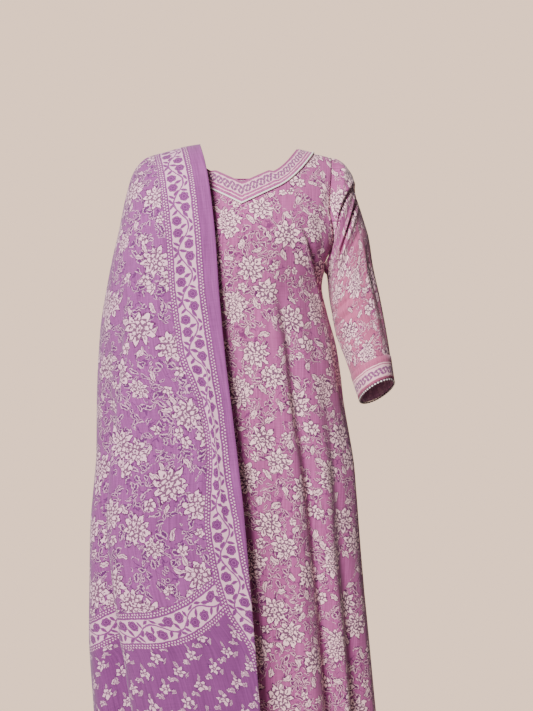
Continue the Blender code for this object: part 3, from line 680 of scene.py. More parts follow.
def band_grid(side, lift):
    """The band's points from one shoulder seam to the other, outer edge to neckline."""
    inner, outer = neck_stations(side)
    inner_z = front_neck_z(inner) if side < 0 else back_neck_z(inner)
    outer_z = front_band_z(outer) if side < 0 else back_band_z(outer)
    share = np.linspace(0.0, 1.0, BAND_ROWS + 1)[:, None]
    x = outer + (inner - outer) * share
    z = np.minimum(outer_z + (inner_z - outer_z) * share, shoulder_z(x))
    line = body_surface(x, z, side)
    seam = line[:, -1:].copy()
    seam[..., 1] = side * SEAM_GAP / 2
    half = np.concatenate([line, seam], axis=1)
    mirrored = half[:, :0:-1] * np.array([-1.0, 1.0, 1.0])
    grid = np.concatenate([mirrored, half], axis=1)
    if side > 0:
        grid = grid[:, ::-1]
    normals = outward_normals(grid)
    normals[:, [0, -1]] = (0.0, 0.0, 1.0)
    return grid + normals * lift


def band_uv(grid):
    """u along the band's middle, v across it from the neckline, as in the band's flat cut."""
    u = run_along(grid[BAND_ROWS // 2][None], 1)
    across = np.linspace(NECK_BAND_WIDTH, 0.0, BAND_ROWS + 1)[:, None]
    return np.stack(np.broadcast_arrays(u, across), axis=-1)


for side, side_name in ((-1, "front"), (1, "back")):
    grid = band_grid(side, BAND_LIFT)
    grid_piece("neck_band_" + side_name + "_cloth", grid, {"cloth": band_uv(grid)}, BAND_CLOTH)

# %% [markdown]
# A sleeve is a tube from the armhole seam to the cuff. It leaves the armhole flush with the body and
# then follows oval sections. Drag creases run from the underarm to the top of the sleeve, and the bend
# half-way down crushes the inner side into short creases.

# %% Tables of the sleeves
SLEEVE_COLUMNS = (
    "along", "outer_x", "outer_z", "inner_x", "inner_z", "centre_y", "half_depth", "front_lift",
)
SLEEVE = (
    (0.10, 0.1930, -0.0300, 0.1570, -0.2330, 0.001, 0.0735, 0.000),
    (0.18, 0.2055, -0.0500, 0.1580, -0.2400, 0.001, 0.0700, 0.000),
    (0.27, 0.2110, -0.0830, 0.1590, -0.2500, 0.001, 0.0660, 0.000),
    (0.37, 0.2235, -0.1240, 0.1600, -0.2640, 0.000, 0.063, 0.000),
    (0.47, 0.2350, -0.1650, 0.1620, -0.2820, -0.003, 0.060, 0.001),
    (0.58, 0.2420, -0.2150, 0.1660, -0.3050, -0.008, 0.057, 0.003),
    (0.72, 0.2550, -0.2790, 0.1720, -0.3400, -0.017, 0.053, 0.007),
    (0.87, 0.2670, -0.3520, 0.1900, -0.3900, -0.031, 0.049, 0.013),
    (1.00, 0.2770, -0.4325, 0.2140, -0.4610, -0.048, 0.045, 0.018),
)
CAP_END = 0.10
HIDDEN_IN = 0.020
HIDDEN_BACK = 0.035
HIDDEN_FULL = 0.75
CUFF_START = 0.93
CUFF_LIFT = 0.0013
CUFF_EDGE_RADIUS = 0.0017
CUFF_EDGE_GAP = 0.0004
ARMHOLE_GAP = 0.0005
UNDERARM_GAP = 0.0012
UNDERARM_REACH = 0.60
BESIDE_X = 0.004
BESIDE_DROP = 0.0006
CAP_ROWS = 24
SLEEVE_ROWS = 112
CUFF_ROWS = 5
SLEEVE_LENGTH = 0.42
SLEEVE_GIRTH = 0.38
UNDERARM_SHARE = (0.35, 0.85)
ONWARD_STEP = 0.02
CAP_QUIET = (0.02, 0.09)
CUFF_QUIET = 0.03

# Creases of a sleeve: a is round it from the top past the front to the underarm, b is down it
SLEEVE_CREASES = (
    (0.002, 0.116, 0.104, 0.036, 0.0042, -0.0050, 0.0),
    (0.080, 0.052, 0.158, 0.022, 0.0046, -0.0040, 0.0),
    (0.010, 0.098, 0.100, 0.024, 0.0070, 0.0030, 0.0),
    (0.000, 0.116, 0.145, 0.125, 0.0042, -0.0050, 0.0),
    (0.020, 0.108, 0.140, 0.104, 0.0065, 0.0032, 0.0),
    (0.020, 0.130, 0.150, 0.140, 0.0075, 0.0030, 0.0),
    (0.040, 0.165, 0.150, 0.158, 0.0070, -0.0024, 0.0),
    (0.185, 0.070, 0.120, 0.150, 0.0080, -0.0020, 0.0),
    (0.190, 0.240, 0.090, 0.262, 0.0060, -0.0028, 0.0),
    (0.195, 0.262, 0.100, 0.276, 0.0060, 0.0024, 0.0),
    (0.190, 0.285, 0.085, 0.292, 0.0060, -0.0032, 0.0),
    (0.195, 0.312, 0.110, 0.306, 0.0060, 0.0022, 0.0),
    (0.185, 0.335, 0.095, 0.326, 0.0065, -0.0026, 0.0),
    (0.055, 0.150, 0.062, 0.390, 0.0080, 0.0026, 0.0),
    (0.040, 0.200, 0.036, 0.380, 0.0070, -0.0022, 0.0),
    (0.110, 0.180, 0.120, 0.400, 0.0120, -0.0018, 0.0),
    (0.330, 0.110, 0.250, 0.070, 0.0080, -0.0030, 0.0),
    (0.340, 0.135, 0.240, 0.100, 0.0080, 0.0022, 0.0),
    (0.210, 0.255, 0.300, 0.275, 0.0080, -0.0030, 0.0),
    (0.205, 0.292, 0.290, 0.300, 0.0080, -0.0026, 0.0),
    (0.290, 0.180, 0.280, 0.390, 0.0120, 0.0020, 0.0),
)
sleeve_section = smooth_reader(SLEEVE_COLUMNS, SLEEVE)
cuff_row = dict(zip(SLEEVE_COLUMNS, SLEEVE[-1]))
cuff_run = cuff_row["outer_x"] - cuff_row["inner_x"], cuff_row["outer_z"] - cuff_row["inner_z"]
print("width of the cuff", round(math.hypot(*cuff_run), 3), "m")

# %% [markdown]
# The tube's sections are read from the table. Up to the first section, each line of the sleeve is a
# smooth curve that starts flush with the body at the armhole.

# %% Sleeves and cuff bands


def armhole_half(sign, panel):
    """One panel's armhole from the shoulder tip down to the side seam."""
    low, high = panel
    upright = high[::-1, -1 if sign > 0 else 0]
    count = SIDE_STEPS + SEAM_STEPS
    under = low[-1, -count:] if sign > 0 else low[-1, count - 1::-1]
    return np.concatenate([upright, under])


def armhole_loop(sign, front_grids, back_grids):
    """The armhole's points: over the shoulder, down the front, up the back."""
    forward = armhole_half(sign, front_grids)
    rearward = armhole_half(sign, back_grids)
    tip = (forward[0] + rearward[0]) / 2
    under = (forward[-1] + rearward[-1]) / 2
    return np.concatenate([[tip], forward[1:-1], [under], rearward[-2:0:-1]])


def ring_angles(loop):
    """Angle of each armhole point round the sleeve: 0 at the top, a quarter turn at the front."""
    steps = np.linalg.norm(np.roll(loop, -1, axis=0) - loop, axis=1)
    bottom = len(loop) // 2
    down = np.cumsum(steps[:bottom]) / steps[:bottom].sum()
    up = np.cumsum(steps[bottom:]) / steps[bottom:].sum()
    return math.pi * np.concatenate([[0.0], down, 1 + up[:-1]])


def sleeve_ring(along, angle, hidden):
    """One section of a sleeve on the +X side. The hidden sleeve hangs closer and straighter."""
    read = {name: float(sleeve_section(name, along)) for name in SLEEVE_COLUMNS[1:]}
    reach = hidden * float(ease(CAP_END, HIDDEN_FULL, along))
    outer = np.array([read["outer_x"] - HIDDEN_IN * reach, 0.0, read["outer_z"]])
    inner = np.array([read["inner_x"], 0.0, read["inner_z"]])
    middle = (outer + inner) / 2
    middle[1] = read["centre_y"] + HIDDEN_BACK * reach
    forward = np.array([0.0, -read["half_depth"], read["front_lift"]])
    return middle + np.cos(angle)[:, None] * (outer - inner) / 2 + np.sin(angle)[:, None] * forward


def sleeve_points(sign):
    """A sleeve from its armhole seam to the cuff: its grid, and how far along each row is."""
    hidden = 0.0 if sign > 0 else 1.0
    mirror = np.array([float(sign), 1.0, 1.0])
    loop = armhole_loop(sign, front[0], back[0]) * mirror
    angle = ring_angles(loop)
    first = sleeve_ring(CAP_END, angle, hidden)
    low = ease(*UNDERARM_SHARE, (1 - np.cos(angle)) / 2)[:, None]
    beside_x = loop[:, 0] + BESIDE_X
    beside_z = loop[:, 2] - BESIDE_DROP
    in_front = np.sin(angle)[:, None] > 0
    beside = np.where(
        in_front,
        body_surface(beside_x, beside_z, -1, False) - body_surface(loop[:, 0], loop[:, 2], -1, False),
        body_surface(beside_x, beside_z, 1, False) - body_surface(loop[:, 0], loop[:, 2], 1, False),
    )
    beside[[0, len(loop) // 2], 1] = 0.0
    flush = unit(beside)
    reach = np.linalg.norm(first - loop, axis=1, keepdims=True)
    away = (first - loop) / reach
    way = unit(flush * (1 - low) + away * low + np.array([UNDERARM_REACH, 0.0, 0.0]) * low)
    seam = loop + way * (ARMHOLE_GAP + UNDERARM_GAP * low)
    onward = unit(sleeve_ring(CAP_END + ONWARD_STEP, angle, hidden) - first)
    rings, places = [], []
    for share in np.linspace(0.0, 1.0, CAP_ROWS + 1)[:-1]:
        start = seam * (1 + 2 * share) * (1 - share) ** 2 + way * reach * share * (1 - share) ** 2
        end = first * (3 - 2 * share) * share**2 - onward * reach * (1 - share) * share**2
        rings.append(start + end)
        places.append(CAP_END * share)
    upper = np.linspace(CAP_END, CUFF_START, SLEEVE_ROWS + 1)[:-1]
    for along in np.concatenate([upper, np.linspace(CUFF_START, 1.0, CUFF_ROWS + 1)]):
        rings.append(sleeve_ring(along, angle, hidden))
        places.append(along)
    grid = np.array(rings)
    places = np.array(places)
    a = angle[None] / (2 * math.pi) * SLEEVE_GIRTH
    b = places[:, None] * SLEEVE_LENGTH
    normals = outward_normals(grid, wrap=True)
    past_cap = ease(*CAP_QUIET, places[:, None])
    quiet = past_cap * (1 - ease(CUFF_START - CUFF_QUIET, CUFF_START, places[:, None]))
    turns = (0.0, SLEEVE_GIRTH, -SLEEVE_GIRTH)
    creases = sum(crease_height(SLEEVE_CREASES, a + turn, b) for turn in turns)
    grid = grid + normals * (creases * quiet)[..., None]
    grid[0] -= normals[0] * SEAM_DIP
    return grid * mirror, places


def tube_uv(grid):
    """u round from the top, v along. u is halfway between the row's own girth and the middle row's."""
    closed = np.concatenate([grid, grid[:, :1]], axis=1)
    middle = run_along(closed[len(grid) // 2][None], 1)
    u = run_along(closed, 1)
    u = middle * 0.5 + u * 0.5
    v = run_along(closed, 0).mean(axis=1, keepdims=True)
    return np.stack([u, np.broadcast_to(v, u.shape)], axis=-1)


sleeves = {}
for sign, side_name in ((1, "left"), (-1, "right")):
    grid, places = sleeve_points(sign)
    turned = sign < 0
    uv = tube_uv(grid)
    sleeves[side_name] = grid
    grid_piece("sleeve_" + side_name + "_cloth", grid, {"cloth": uv}, CLOTH, wrap=True, flip=turned)
    normals = outward_normals(grid, wrap=True) * (-1.0 if turned else 1.0)
    cuff = (grid + normals * CUFF_LIFT)[-(CUFF_ROWS + 1):]
    cuff_name = "cuff_band_" + side_name + "_cloth"
    grid_piece(cuff_name, cuff, {"cloth": tube_uv(cuff)}, CLOTH, wrap=True, flip=turned)

# %% [markdown]
# Cords are tubes along a closed line. The white cord round the neck band is crocheted, a row of tiny
# knots, and the cuff's edge is worked in white and dark thread by turns, so their radius rises and
# falls along the line. The piping is plain.

# %% Piping and cords
PIPING_RADIUS = 0.0013
PIPING_OUT = 0.0020
CORD_RADIUS = 0.0019
CORD_LIFT = 0.0022
CORD_OUT = 0.0014
CORD_KNOT = 0.0024
EDGE_KNOT = 0.0030
PIPING_STEP = 0.004
KNOT_WAIST = 0.70
CORD_SIDES = 8


def neck_loop(lift, at_neckline, shift):
    """A closed line round the neck, on the neckline or on the band's outer edge, shifted outwards."""
    line = []
    for side in (-1, 1):
        grid = band_grid(side, lift)
        row, other = (grid[-1], grid[-2]) if at_neckline else (grid[0], grid[1])
        line.append((row + unit(row - other) * shift)[1:-1])
    return np.concatenate(line)


def even_loop(points, step):
    """The closed line with its points at even steps."""
    closed = np.concatenate([points, points[:1]])
    run = run_along(closed[None], 1)[0]
    count = int(round(run[-1] / step))
    at = np.linspace(0.0, run[-1], count + 1)[:-1]
    return np.stack([np.interp(at, run, closed[:, i]) for i in range(3)], axis=-1), at


def tube(name, points, radius, knot, steps):
    """A round cord on a closed line. Its radius swells at each knot."""
    line, at = even_loop(points, knot / steps)
    tangent = unit(np.roll(line, -1, axis=0) - np.roll(line, 1, axis=0))
    spoke = line - line.mean(axis=0)
    first = unit(spoke - tangent * (spoke * tangent).sum(axis=1, keepdims=True))
    second = np.cross(tangent, first)
    swell = radius * np.ones(len(at))
    if steps > 1:
        swell = radius * (KNOT_WAIST + (1 - KNOT_WAIST) * np.abs(np.sin(math.pi * at / knot)) ** 0.7)
    turn = np.linspace(0.0, 2 * math.pi, CORD_SIDES + 1)[:-1]
    spokes = np.cos(turn)[None, :, None] * first[:, None] + np.sin(turn)[None, :, None] * second[:, None]
    grid = line[:, None] + spokes * swell[:, None, None]
    number = np.arange(len(line) * CORD_SIDES).reshape(len(line), CORD_SIDES)
    number = np.concatenate([number, number[:, :1]], axis=1)
    number = np.concatenate([number, number[:1]])
    u = np.append(at, at[-1] + at[1])[:, None] * np.ones(CORD_SIDES + 1)
    v = np.linspace(0.0, 1.0, CORD_SIDES + 1)[None] * np.ones((len(u), 1))
    faces = corners(number)[:, ::-1]
    uvs = {"cloth": corners(np.stack([u, v], axis=-1))[:, ::-1]}
    piece = mesh_piece(name, grid.reshape(-1, 3), faces, uvs)
    piece.data.materials.append(bpy.data.materials.new(name))
    pick(piece)
    bpy.ops.object.mode_set(mode="EDIT")
    bpy.ops.mesh.select_all(action="SELECT")
    bpy.ops.mesh.normals_make_consistent(inside=False)
    bpy.ops.object.mode_set(mode="OBJECT")
    print(name, round(float(u[-1, 0]), 3), "m long,", len(faces), "faces")


tube("neck_piping_cloth", neck_loop(0.0, True, PIPING_OUT), PIPING_RADIUS, PIPING_STEP, 1)
tube("neck_cord_knots", neck_loop(CORD_LIFT, False, CORD_OUT), CORD_RADIUS, CORD_KNOT, 4)
for side_name, grid in sleeves.items():
    end = unit(grid[-1] - grid[-2])
    edge = grid[-1] + end * (CUFF_EDGE_RADIUS + CUFF_EDGE_GAP)
    tube("cuff_edge_" + side_name + "_knots", edge, CUFF_EDGE_RADIUS, EDGE_KNOT, 5)

# %% [markdown]
# The dupatta is a long cotton stole, folded lengthwise into soft pleats and thrown over one shoulder.
# It hangs from a ridge on the shoulder, and the rings of its two lengths widen over the sleeve. One wide
# pleat folds back on itself near the outer side of the front length, and soft ones run down the back.

# %% Tables of the dupatta
DUPATTA_CLOTH = 0.0008
DUPATTA_DROP = 1.150
SPLIT_DROP = 0.520
FRONT_SPLIT = 0.052
BACK_SPLIT = 0.044
SPLIT_FROM = 0.80
ROUND_ABOVE = 4.2
ROUND_BELOW = 2.8
HANG_FULL = 2.2
SHOULDER_DEPTH = 0.150
RIDGE_ROUND = 2.1
RIDGE_COLUMNS = ("x", "z")
RIDGE = (
    (-0.2105, -0.0560),
    (-0.2060, -0.0445),
    (-0.1975, -0.0305),
    (-0.1780, -0.0135),
    (-0.1430, -0.0034),
    (-0.1070, 0.0065),
    (-0.0795, 0.0110),
)
FRONT_HANG_COLUMNS = (
    "drop", "inner_x", "side_x", "depth", "fold_at", "fold_turn", "fold_height",
)
FRONT_HANG = (
    (0.000, -0.0795, 0.2105, 0.108, 0.620, -1.00, 0.000),
    (0.050, -0.0650, 0.2215, 0.118, 0.640, -1.00, 0.000),
    (0.100, -0.0560, 0.2305, 0.128, 0.660, -1.00, 0.000),
    (0.180, -0.0460, 0.2485, 0.136, 0.690, -1.00, 0.002),
    (0.290, -0.0380, 0.2665, 0.134, 0.730, -0.80, 0.006),
    (0.400, -0.0270, 0.2725, 0.133, 0.770, 0.10, 0.013),
    (0.520, -0.0120, 0.2740, 0.137, 0.790, 0.80, 0.018),
    (0.660, 0.0040, 0.2820, 0.146, 0.790, 1.30, 0.022),
    (0.820, 0.0176, 0.2820, 0.156, 0.720, 1.70, 0.022),
    (1.000, 0.0320, 0.2700, 0.170, 0.650, 2.00, 0.018),
    (1.150, 0.0450, 0.2660, 0.176, 0.620, 2.00, 0.015),
)
FOLD_REACH = 0.12
BACK_HANG_COLUMNS = ("drop", "inner_x", "side_x", "depth", "wave")
BACK_HANG = (
    (0.000, -0.0795, 0.2105, 0.124, 0.000),
    (0.050, -0.0720, 0.2215, 0.128, 0.000),
    (0.100, -0.0680, 0.2305, 0.130, 0.001),
    (0.180, -0.0640, 0.2485, 0.131, 0.003),
    (0.290, -0.0600, 0.2665, 0.124, 0.006),
    (0.400, -0.0520, 0.2725, 0.132, 0.009),
    (0.520, -0.0440, 0.2740, 0.146, 0.011),
    (0.660, -0.0340, 0.2800, 0.156, 0.013),
    (0.820, -0.0240, 0.2800, 0.166, 0.014),
    (1.000, -0.0140, 0.2700, 0.174, 0.015),
    (1.150, -0.0060, 0.2660, 0.178, 0.015),
)
BACK_WAVES = 3.2
BACK_WAVE_START = 0.6
BACK_CENTRE = 0.62
WAVE_EDGE = 0.06
ROUNDING_DROP = 0.140
ROUNDING_ROWS = 26
HANGING_ROWS = 108
FLAT_STEPS = 46
FOLD_STEPS = 44
OUTER_STEPS = 24
FULLNESS_DROPS = (0.10, 0.70)
CREASE_START_DROP = 0.10
CREASE_END = (0.88, 0.98)

# Creases of the dupatta's lengths: a is across from the inner edge, b is the height below the ridge
DRAPE_CREASES = (
    (0.040, -0.370, 0.043, -0.680, 0.0075, -0.0045, 1.0),
    (0.150, -0.310, 0.186, -0.415, 0.0060, -0.0060, 0.4),
    (0.184, -0.390, 0.203, -0.480, 0.0065, -0.0060, 0.4),
    (0.203, -0.450, 0.201, -0.560, 0.0070, -0.0050, 0.4),
    (0.258, -0.560, 0.249, -0.760, 0.0120, -0.0080, 0.0),
    (0.252, -0.700, 0.232, -0.940, 0.0120, -0.0080, 0.0),
    (0.236, -0.880, 0.216, -1.120, 0.0120, -0.0070, 0.0),
    (0.120, -0.200, 0.215, -0.300, 0.0120, 0.0030, 0.0),
    (0.110, -0.250, 0.170, -0.310, 0.0100, -0.0026, 0.0),
    (0.075, -0.452, 0.040, -0.493, 0.0070, 0.0030, 0.0),
    (0.020, -0.030, 0.034, -0.330, 0.0080, 0.0020, 0.0),
    (0.045, -0.020, 0.075, -0.420, 0.0110, -0.0026, 0.0),
    (0.070, -0.030, 0.120, -0.360, 0.0100, 0.0026, 0.0),
    (0.100, -0.060, 0.160, -0.500, 0.0120, -0.0028, 0.0),
    (0.050, -0.380, 0.075, -0.860, 0.0130, 0.0028, 0.0),
    (0.105, -0.420, 0.130, -0.980, 0.0140, -0.0032, 0.0),
    (0.022, -0.560, 0.032, -1.140, 0.0110, -0.0022, 0.0),
    (0.160, -0.540, 0.175, -1.140, 0.0130, 0.0030, 0.0),
    (0.080, -0.700, 0.086, -1.160, 0.0110, -0.0024, 0.0),
    (0.200, -0.240, 0.215, -0.620, 0.0110, 0.0024, 0.0),
    (0.225, -0.300, 0.240, -0.800, 0.0100, -0.0024, 0.0),
)
ROLL_COLUMNS = ("drop", "rolled")
ROLL = (
    (0.000, 0.000), (0.250, 0.000), (0.360, 0.005), (0.500, 0.011), (0.600, 0.010), (0.680, 0.016),
    (0.740, 0.021), (0.820, 0.036), (0.905, 0.077), (1.150, 0.120),
)
TUCK_COLUMNS = ("drop", "hidden")
TUCK = (
    (0.000, 0.000), (0.380, 0.000), (0.460, 0.014), (0.550, 0.022), (0.620, 0.012), (0.700, 0.000),
    (1.150, 0.000),
)
TUCK_AT = 0.034
TUCK_WIDTH = 0.004
tucked = smooth_reader(TUCK_COLUMNS, TUCK)
ridge_line = smooth_reader(RIDGE_COLUMNS, RIDGE)
rolled_edge = smooth_reader(ROLL_COLUMNS, ROLL)
front_hang = smooth_reader(FRONT_HANG_COLUMNS, FRONT_HANG)
back_hang = smooth_reader(BACK_HANG_COLUMNS, BACK_HANG)
print("the dupatta's longest drop", DUPATTA_DROP, "m")

# %% [markdown]
# The two lengths are one sheet over the shoulder. They share their outer edge down to where they part
# at the side. The UV map runs across from the inner edge and down the drop. On the front length the
# inner edge rolls under low down, so there the map starts inside the border, and a narrow tuck hides
# part of the border's width, so there the map skips what lies in the tuck.

# %% Dupatta


def hang_point(row, fraction, side):
    """A point of the dupatta: how far below the ridge, and how far across from the inner edge."""
    read = front_hang if side < 0 else back_hang
    inner_x = read("inner_x", row)
    side_x = read("side_x", row)
    x = inner_x - fraction * (inner_x + side_x)
    top_x = RIDGE[-1][0] + fraction * (RIDGE[0][0] - RIDGE[-1][0])
    z = ridge_line("z", top_x) - row
    share = np.clip(-x / side_x, 0.0, 1.0)
    fullness = ROUND_BELOW + (ROUND_ABOVE - ROUND_BELOW) * (1 - ease(*FULLNESS_DROPS, row))
    swell = (1 - share**fullness) ** (1 / HANG_FULL)
    climb = np.clip(1 - row / SHOULDER_DEPTH, 0.0, 1.0)
    over = (1 - climb**RIDGE_ROUND) ** (1 / RIDGE_ROUND)
    y = side * read("depth", row) * swell * over
    outward = unit(point(x / side_x**2, side * swell / read("depth", row), 0.0))
    return point(x, y, z), outward


def parting(drop):
    """How far the two outer edges stand apart at the side: 0 where they part, 1 at the ends."""
    return math.sqrt(max(drop - SPLIT_DROP, 0.0) / (DUPATTA_DROP - SPLIT_DROP))


def dupatta_fractions(centre, kink):
    """Places across a length from the inner edge to the outer, doubling back at the fold."""
    flat = np.linspace(0.0, centre - FOLD_REACH, FLAT_STEPS + 1)[:-1]
    turn = np.linspace(-1.0, 1.0, FOLD_STEPS)
    zed = centre + FOLD_REACH * ((1 + kink) * turn**3 - kink * turn)
    rest = np.linspace(0.0, 1.0, OUTER_STEPS + 1)[1:]
    end = centre + FOLD_REACH
    outer = end + (1 - end) * np.sin(rest * math.pi / 2)
    layer = np.concatenate([np.ones(FLAT_STEPS), (turn**3 - 3 * turn) / 2, ease(0, 1, rest) - 1])
    return np.concatenate([flat, zed, outer]), layer


over = ROUNDING_DROP * (1 - np.cos(np.linspace(0.0, math.pi / 2, ROUNDING_ROWS + 1)))
drops = np.concatenate([over, np.linspace(ROUNDING_DROP, DUPATTA_DROP, HANGING_ROWS + 1)[1:]])


def drape(side):
    """Grid of one length: rows from the ridge down, columns from the inner edge to the outer."""
    grid = []
    for drop in drops:
        if side < 0:
            read = {name: float(front_hang(name, drop)) for name in FRONT_HANG_COLUMNS}
            fraction, layer = dupatta_fractions(read["fold_at"], read["fold_turn"])
            height = layer * read["fold_height"]
        else:
            read = {name: float(back_hang(name, drop)) for name in BACK_HANG_COLUMNS}
            fraction, _ = dupatta_fractions(BACK_CENTRE, -1.0)
            quiet = ease(0.0, WAVE_EDGE, fraction) * (1 - ease(1 - 2 * WAVE_EDGE, 1.0, fraction))
            height = read["wave"] * np.sin(2 * math.pi * BACK_WAVES * fraction + BACK_WAVE_START) * quiet
        place, outward = hang_point(drop, fraction, side)
        a = fraction * (read["inner_x"] + read["side_x"])
        calm = ease(0.0, CREASE_START_DROP, drop) * (1 - ease(*CREASE_END, fraction))
        height = height + crease_height(DRAPE_CREASES, a, np.full(a.shape, -drop)) * calm
        place = place + outward * height[:, None]
        split = FRONT_SPLIT if side < 0 else BACK_SPLIT
        place[:, 1] += side * split * parting(drop) * ease(SPLIT_FROM, 1.0, fraction)
        grid.append(place)
    return np.array(grid)


def drape_uv(grid, side):
    """u across from the cloth's inner edge, part of which is rolled under low down, v down the drop."""
    u = run_along(grid, 1)
    if side < 0:
        hidden = tucked("hidden", drops)[:, None] * ease(TUCK_AT, TUCK_AT + TUCK_WIDTH, u)
        u = u + hidden + rolled_edge("rolled", drops)[:, None]
    middle = grid.shape[1] // 3
    v = np.broadcast_to(run_along(grid[:, middle:middle + 1], 0), u.shape)
    return np.stack([u, -side * v], axis=-1)


front_length, back_length = drape(-1), drape(1)
front_uv, back_uv = drape_uv(front_length, -1), drape_uv(back_length, 1)
rows, columns = front_length.shape[:2]
number = np.arange(rows * columns).reshape(rows, columns)
back_number = number + rows * columns
joined = drops <= SPLIT_DROP
back_number[0] = number[0]
back_number[joined, -1] = number[joined, -1]
sheet = np.concatenate([number[::-1], back_number[1:]])
sheet_uv = np.concatenate([front_uv[::-1], back_uv[1:]])
every_point = np.concatenate([front_length.reshape(-1, 3), back_length.reshape(-1, 3)])
used, faces = np.unique(corners(sheet), return_inverse=True)
sheet_faces = faces.reshape(-1, 4)
sheet_uvs = {"cloth": corners(sheet_uv)}
cloth_piece("dupatta_cloth", every_point[used], sheet_faces, sheet_uvs, DUPATTA_CLOTH, flip=True)
HUNG = 0.5
over_shoulder = float(np.interp(HUNG, drops, front_uv[:, 0, 1])) - HUNG
print("cloth taken up over the shoulder", round(over_shoulder, 4), "m")

# %% [markdown]
# A print is sums on the UV map, so the sums are written as sums. The class wraps a socket, and each
# operator adds the Math node that works it out. The bench is one material's node tree, and its one
# method adds any other node from its type, its settings and what its sockets take.

# %% Shader helpers


class Sum:
    """A socket that takes part in sums."""

    def __init__(self, bench, socket):
        self.bench = bench
        self.socket = socket

    def math(self, operation, *values):
        return self.bench.node("ShaderNodeMath", {"operation": operation}, dict(enumerate(values)))

    def then(self, operation, *others):
        """This value put through one more Math node."""
        return self.math(operation, self, *others)

    def __add__(self, other):
        return self.math("ADD", self, other)

    def __sub__(self, other):
        return self.math("SUBTRACT", self, other)

    def __rsub__(self, other):
        return self.math("SUBTRACT", other, self)

    def __mul__(self, other):
        return self.math("MULTIPLY", self, other)

    def __truediv__(self, other):
        return self.math("DIVIDE", self, other)

    def __pow__(self, other):
        return self.math("POWER", self, other)

    def __abs__(self):
        return self.math("ABSOLUTE", self)

    def __lt__(self, other):
        return self.math("LESS_THAN", self, other)

    def __gt__(self, other):
        return self.math("GREATER_THAN", self, other)

    def __and__(self, other):
        return self.math("MULTIPLY", self, other)

    def __or__(self, other):
        return self.math("MAXIMUM", self, other)

    __radd__ = __add__
    __rmul__ = __mul__


class Bench:
    """One material's node tree."""

    def __init__(self, material):
        material.use_nodes = True
        self.tree = material.node_tree
        self.shader = self.tree.nodes["Principled BSDF"]

    def node(self, kind, settings=None, inputs=None, output=0):
        made = self.tree.nodes.new(kind)
        for name, value in (settings or {}).items():
            setattr(made, name, value)
        for key, value in (inputs or {}).items():
            if isinstance(value, Sum):
                self.tree.links.new(value.socket, made.inputs[key])
            else:
                made.inputs[key].default_value = value
        return Sum(self, made.outputs[output])

    def uv(self, layer="cloth"):
        return self.node("ShaderNodeUVMap", {"uv_map": layer})

    def vector(self, operation, *values, output=0):
        return self.node("ShaderNodeVectorMath", {"operation": operation}, dict(enumerate(values)), output)

    def scale(self, vector, factor):
        if isinstance(vector, tuple):
            vector = vector[:3]
        return self.node("ShaderNodeVectorMath", {"operation": "SCALE"}, {0: vector, "Scale": factor})

    def split(self, vector):
        made = self.node("ShaderNodeSeparateXYZ", {}, {0: vector}).socket.node
        return Sum(self, made.outputs[0]), Sum(self, made.outputs[1])

    def join(self, x, y):
        return self.node("ShaderNodeCombineXYZ", {}, {0: x, 1: y})

    def mix(self, factor, low, high):
        """A colour between two."""
        return self.node("ShaderNodeMix", {"data_type": "RGBA"}, {0: factor, 6: low, 7: high}, 2)

    def mix_vector(self, factor, low, high):
        """A vector between two."""
        return self.node("ShaderNodeMix", {"data_type": "VECTOR"}, {0: factor, 4: low, 5: high}, 1)

    def noise(self, vector, scale, detail=2.0, output=0):
        settings = {"noise_dimensions": "2D"}
        inputs = {"Vector": vector, "Scale": scale, "Detail": detail}
        return self.node("ShaderNodeTexNoise", settings, inputs, output)

    def smooth(self, value, low, high):
        """0 below low, 1 above high, smooth between."""
        settings = {"interpolation_type": "SMOOTHSTEP"}
        return self.node("ShaderNodeMapRange", settings, {0: value, 1: low, 2: high})

    def stretched(self, vector, scale_u, scale_v):
        return self.vector("MULTIPLY", vector, (scale_u, scale_v, 1.0))

    def set(self, socket, value):
        if isinstance(value, Sum):
            self.tree.links.new(value.socket, self.shader.inputs[socket])
        else:
            self.shader.inputs[socket].default_value = value


def colour(red, green, blue):
    """A colour of the paint card, 0 to 255, as the shader takes it."""
    return tuple(((channel / 255 + 0.055) / 1.055) ** 2.4 for channel in (red, green, blue)) + (1.0,)


print("lavender", [round(v, 3) for v in colour(200, 150, 205)])

# %% [markdown]
# The flowers are printed by hand from wooden blocks in repeats. A short chart gives the place of each
# flower in its repeat. For every point of the cloth the shader finds the nearest flower of the chart
# and draws it in its own polar coordinates, so all flowers of a kind share one drawing.

# %% Drawing the motifs
LEAF_WIDTH = 0.40
LEAF_RIM = 0.13


def nearest(bench, vector, places, tile):
    """The vector from the nearest motif's centre, in its own radii, and its length."""
    best = best_length = None
    half = (tile[0] / 2, tile[1] / 2, 1.0)
    for u, v, radius, turn in places:
        offset = bench.vector("SUBTRACT", vector, (u, v, 0.0))
        offset = bench.vector("WRAP", offset, half, (-half[0], -half[1], -1.0))
        size = (1 / radius, 1 / radius, 1.0)
        offset = bench.node("ShaderNodeMapping", {}, {0: offset, 2: (0.0, 0.0, math.radians(turn)), 3: size})
        length = bench.vector("LENGTH", offset, output=1)
        if best is None:
            best, best_length = offset, length
        else:
            best = bench.mix_vector(length < best_length, best, offset)
            best_length = best_length.then("MINIMUM", length)
    return best, best_length


def polar(bench, vector):
    x, y = bench.split(vector)
    return y.then("ARCTAN2", x)


def lobes(angle, count, shift=0.0):
    """1 in the middle of each petal, 0 between two petals."""
    return abs((angle * (count / 2) + shift).then("COSINE"))


def tips(lobe):
    """1 at the very tip of each petal, falling off straight to both sides, so that petals are pointed."""
    return 1 - (1 - lobe * lobe) ** 0.5


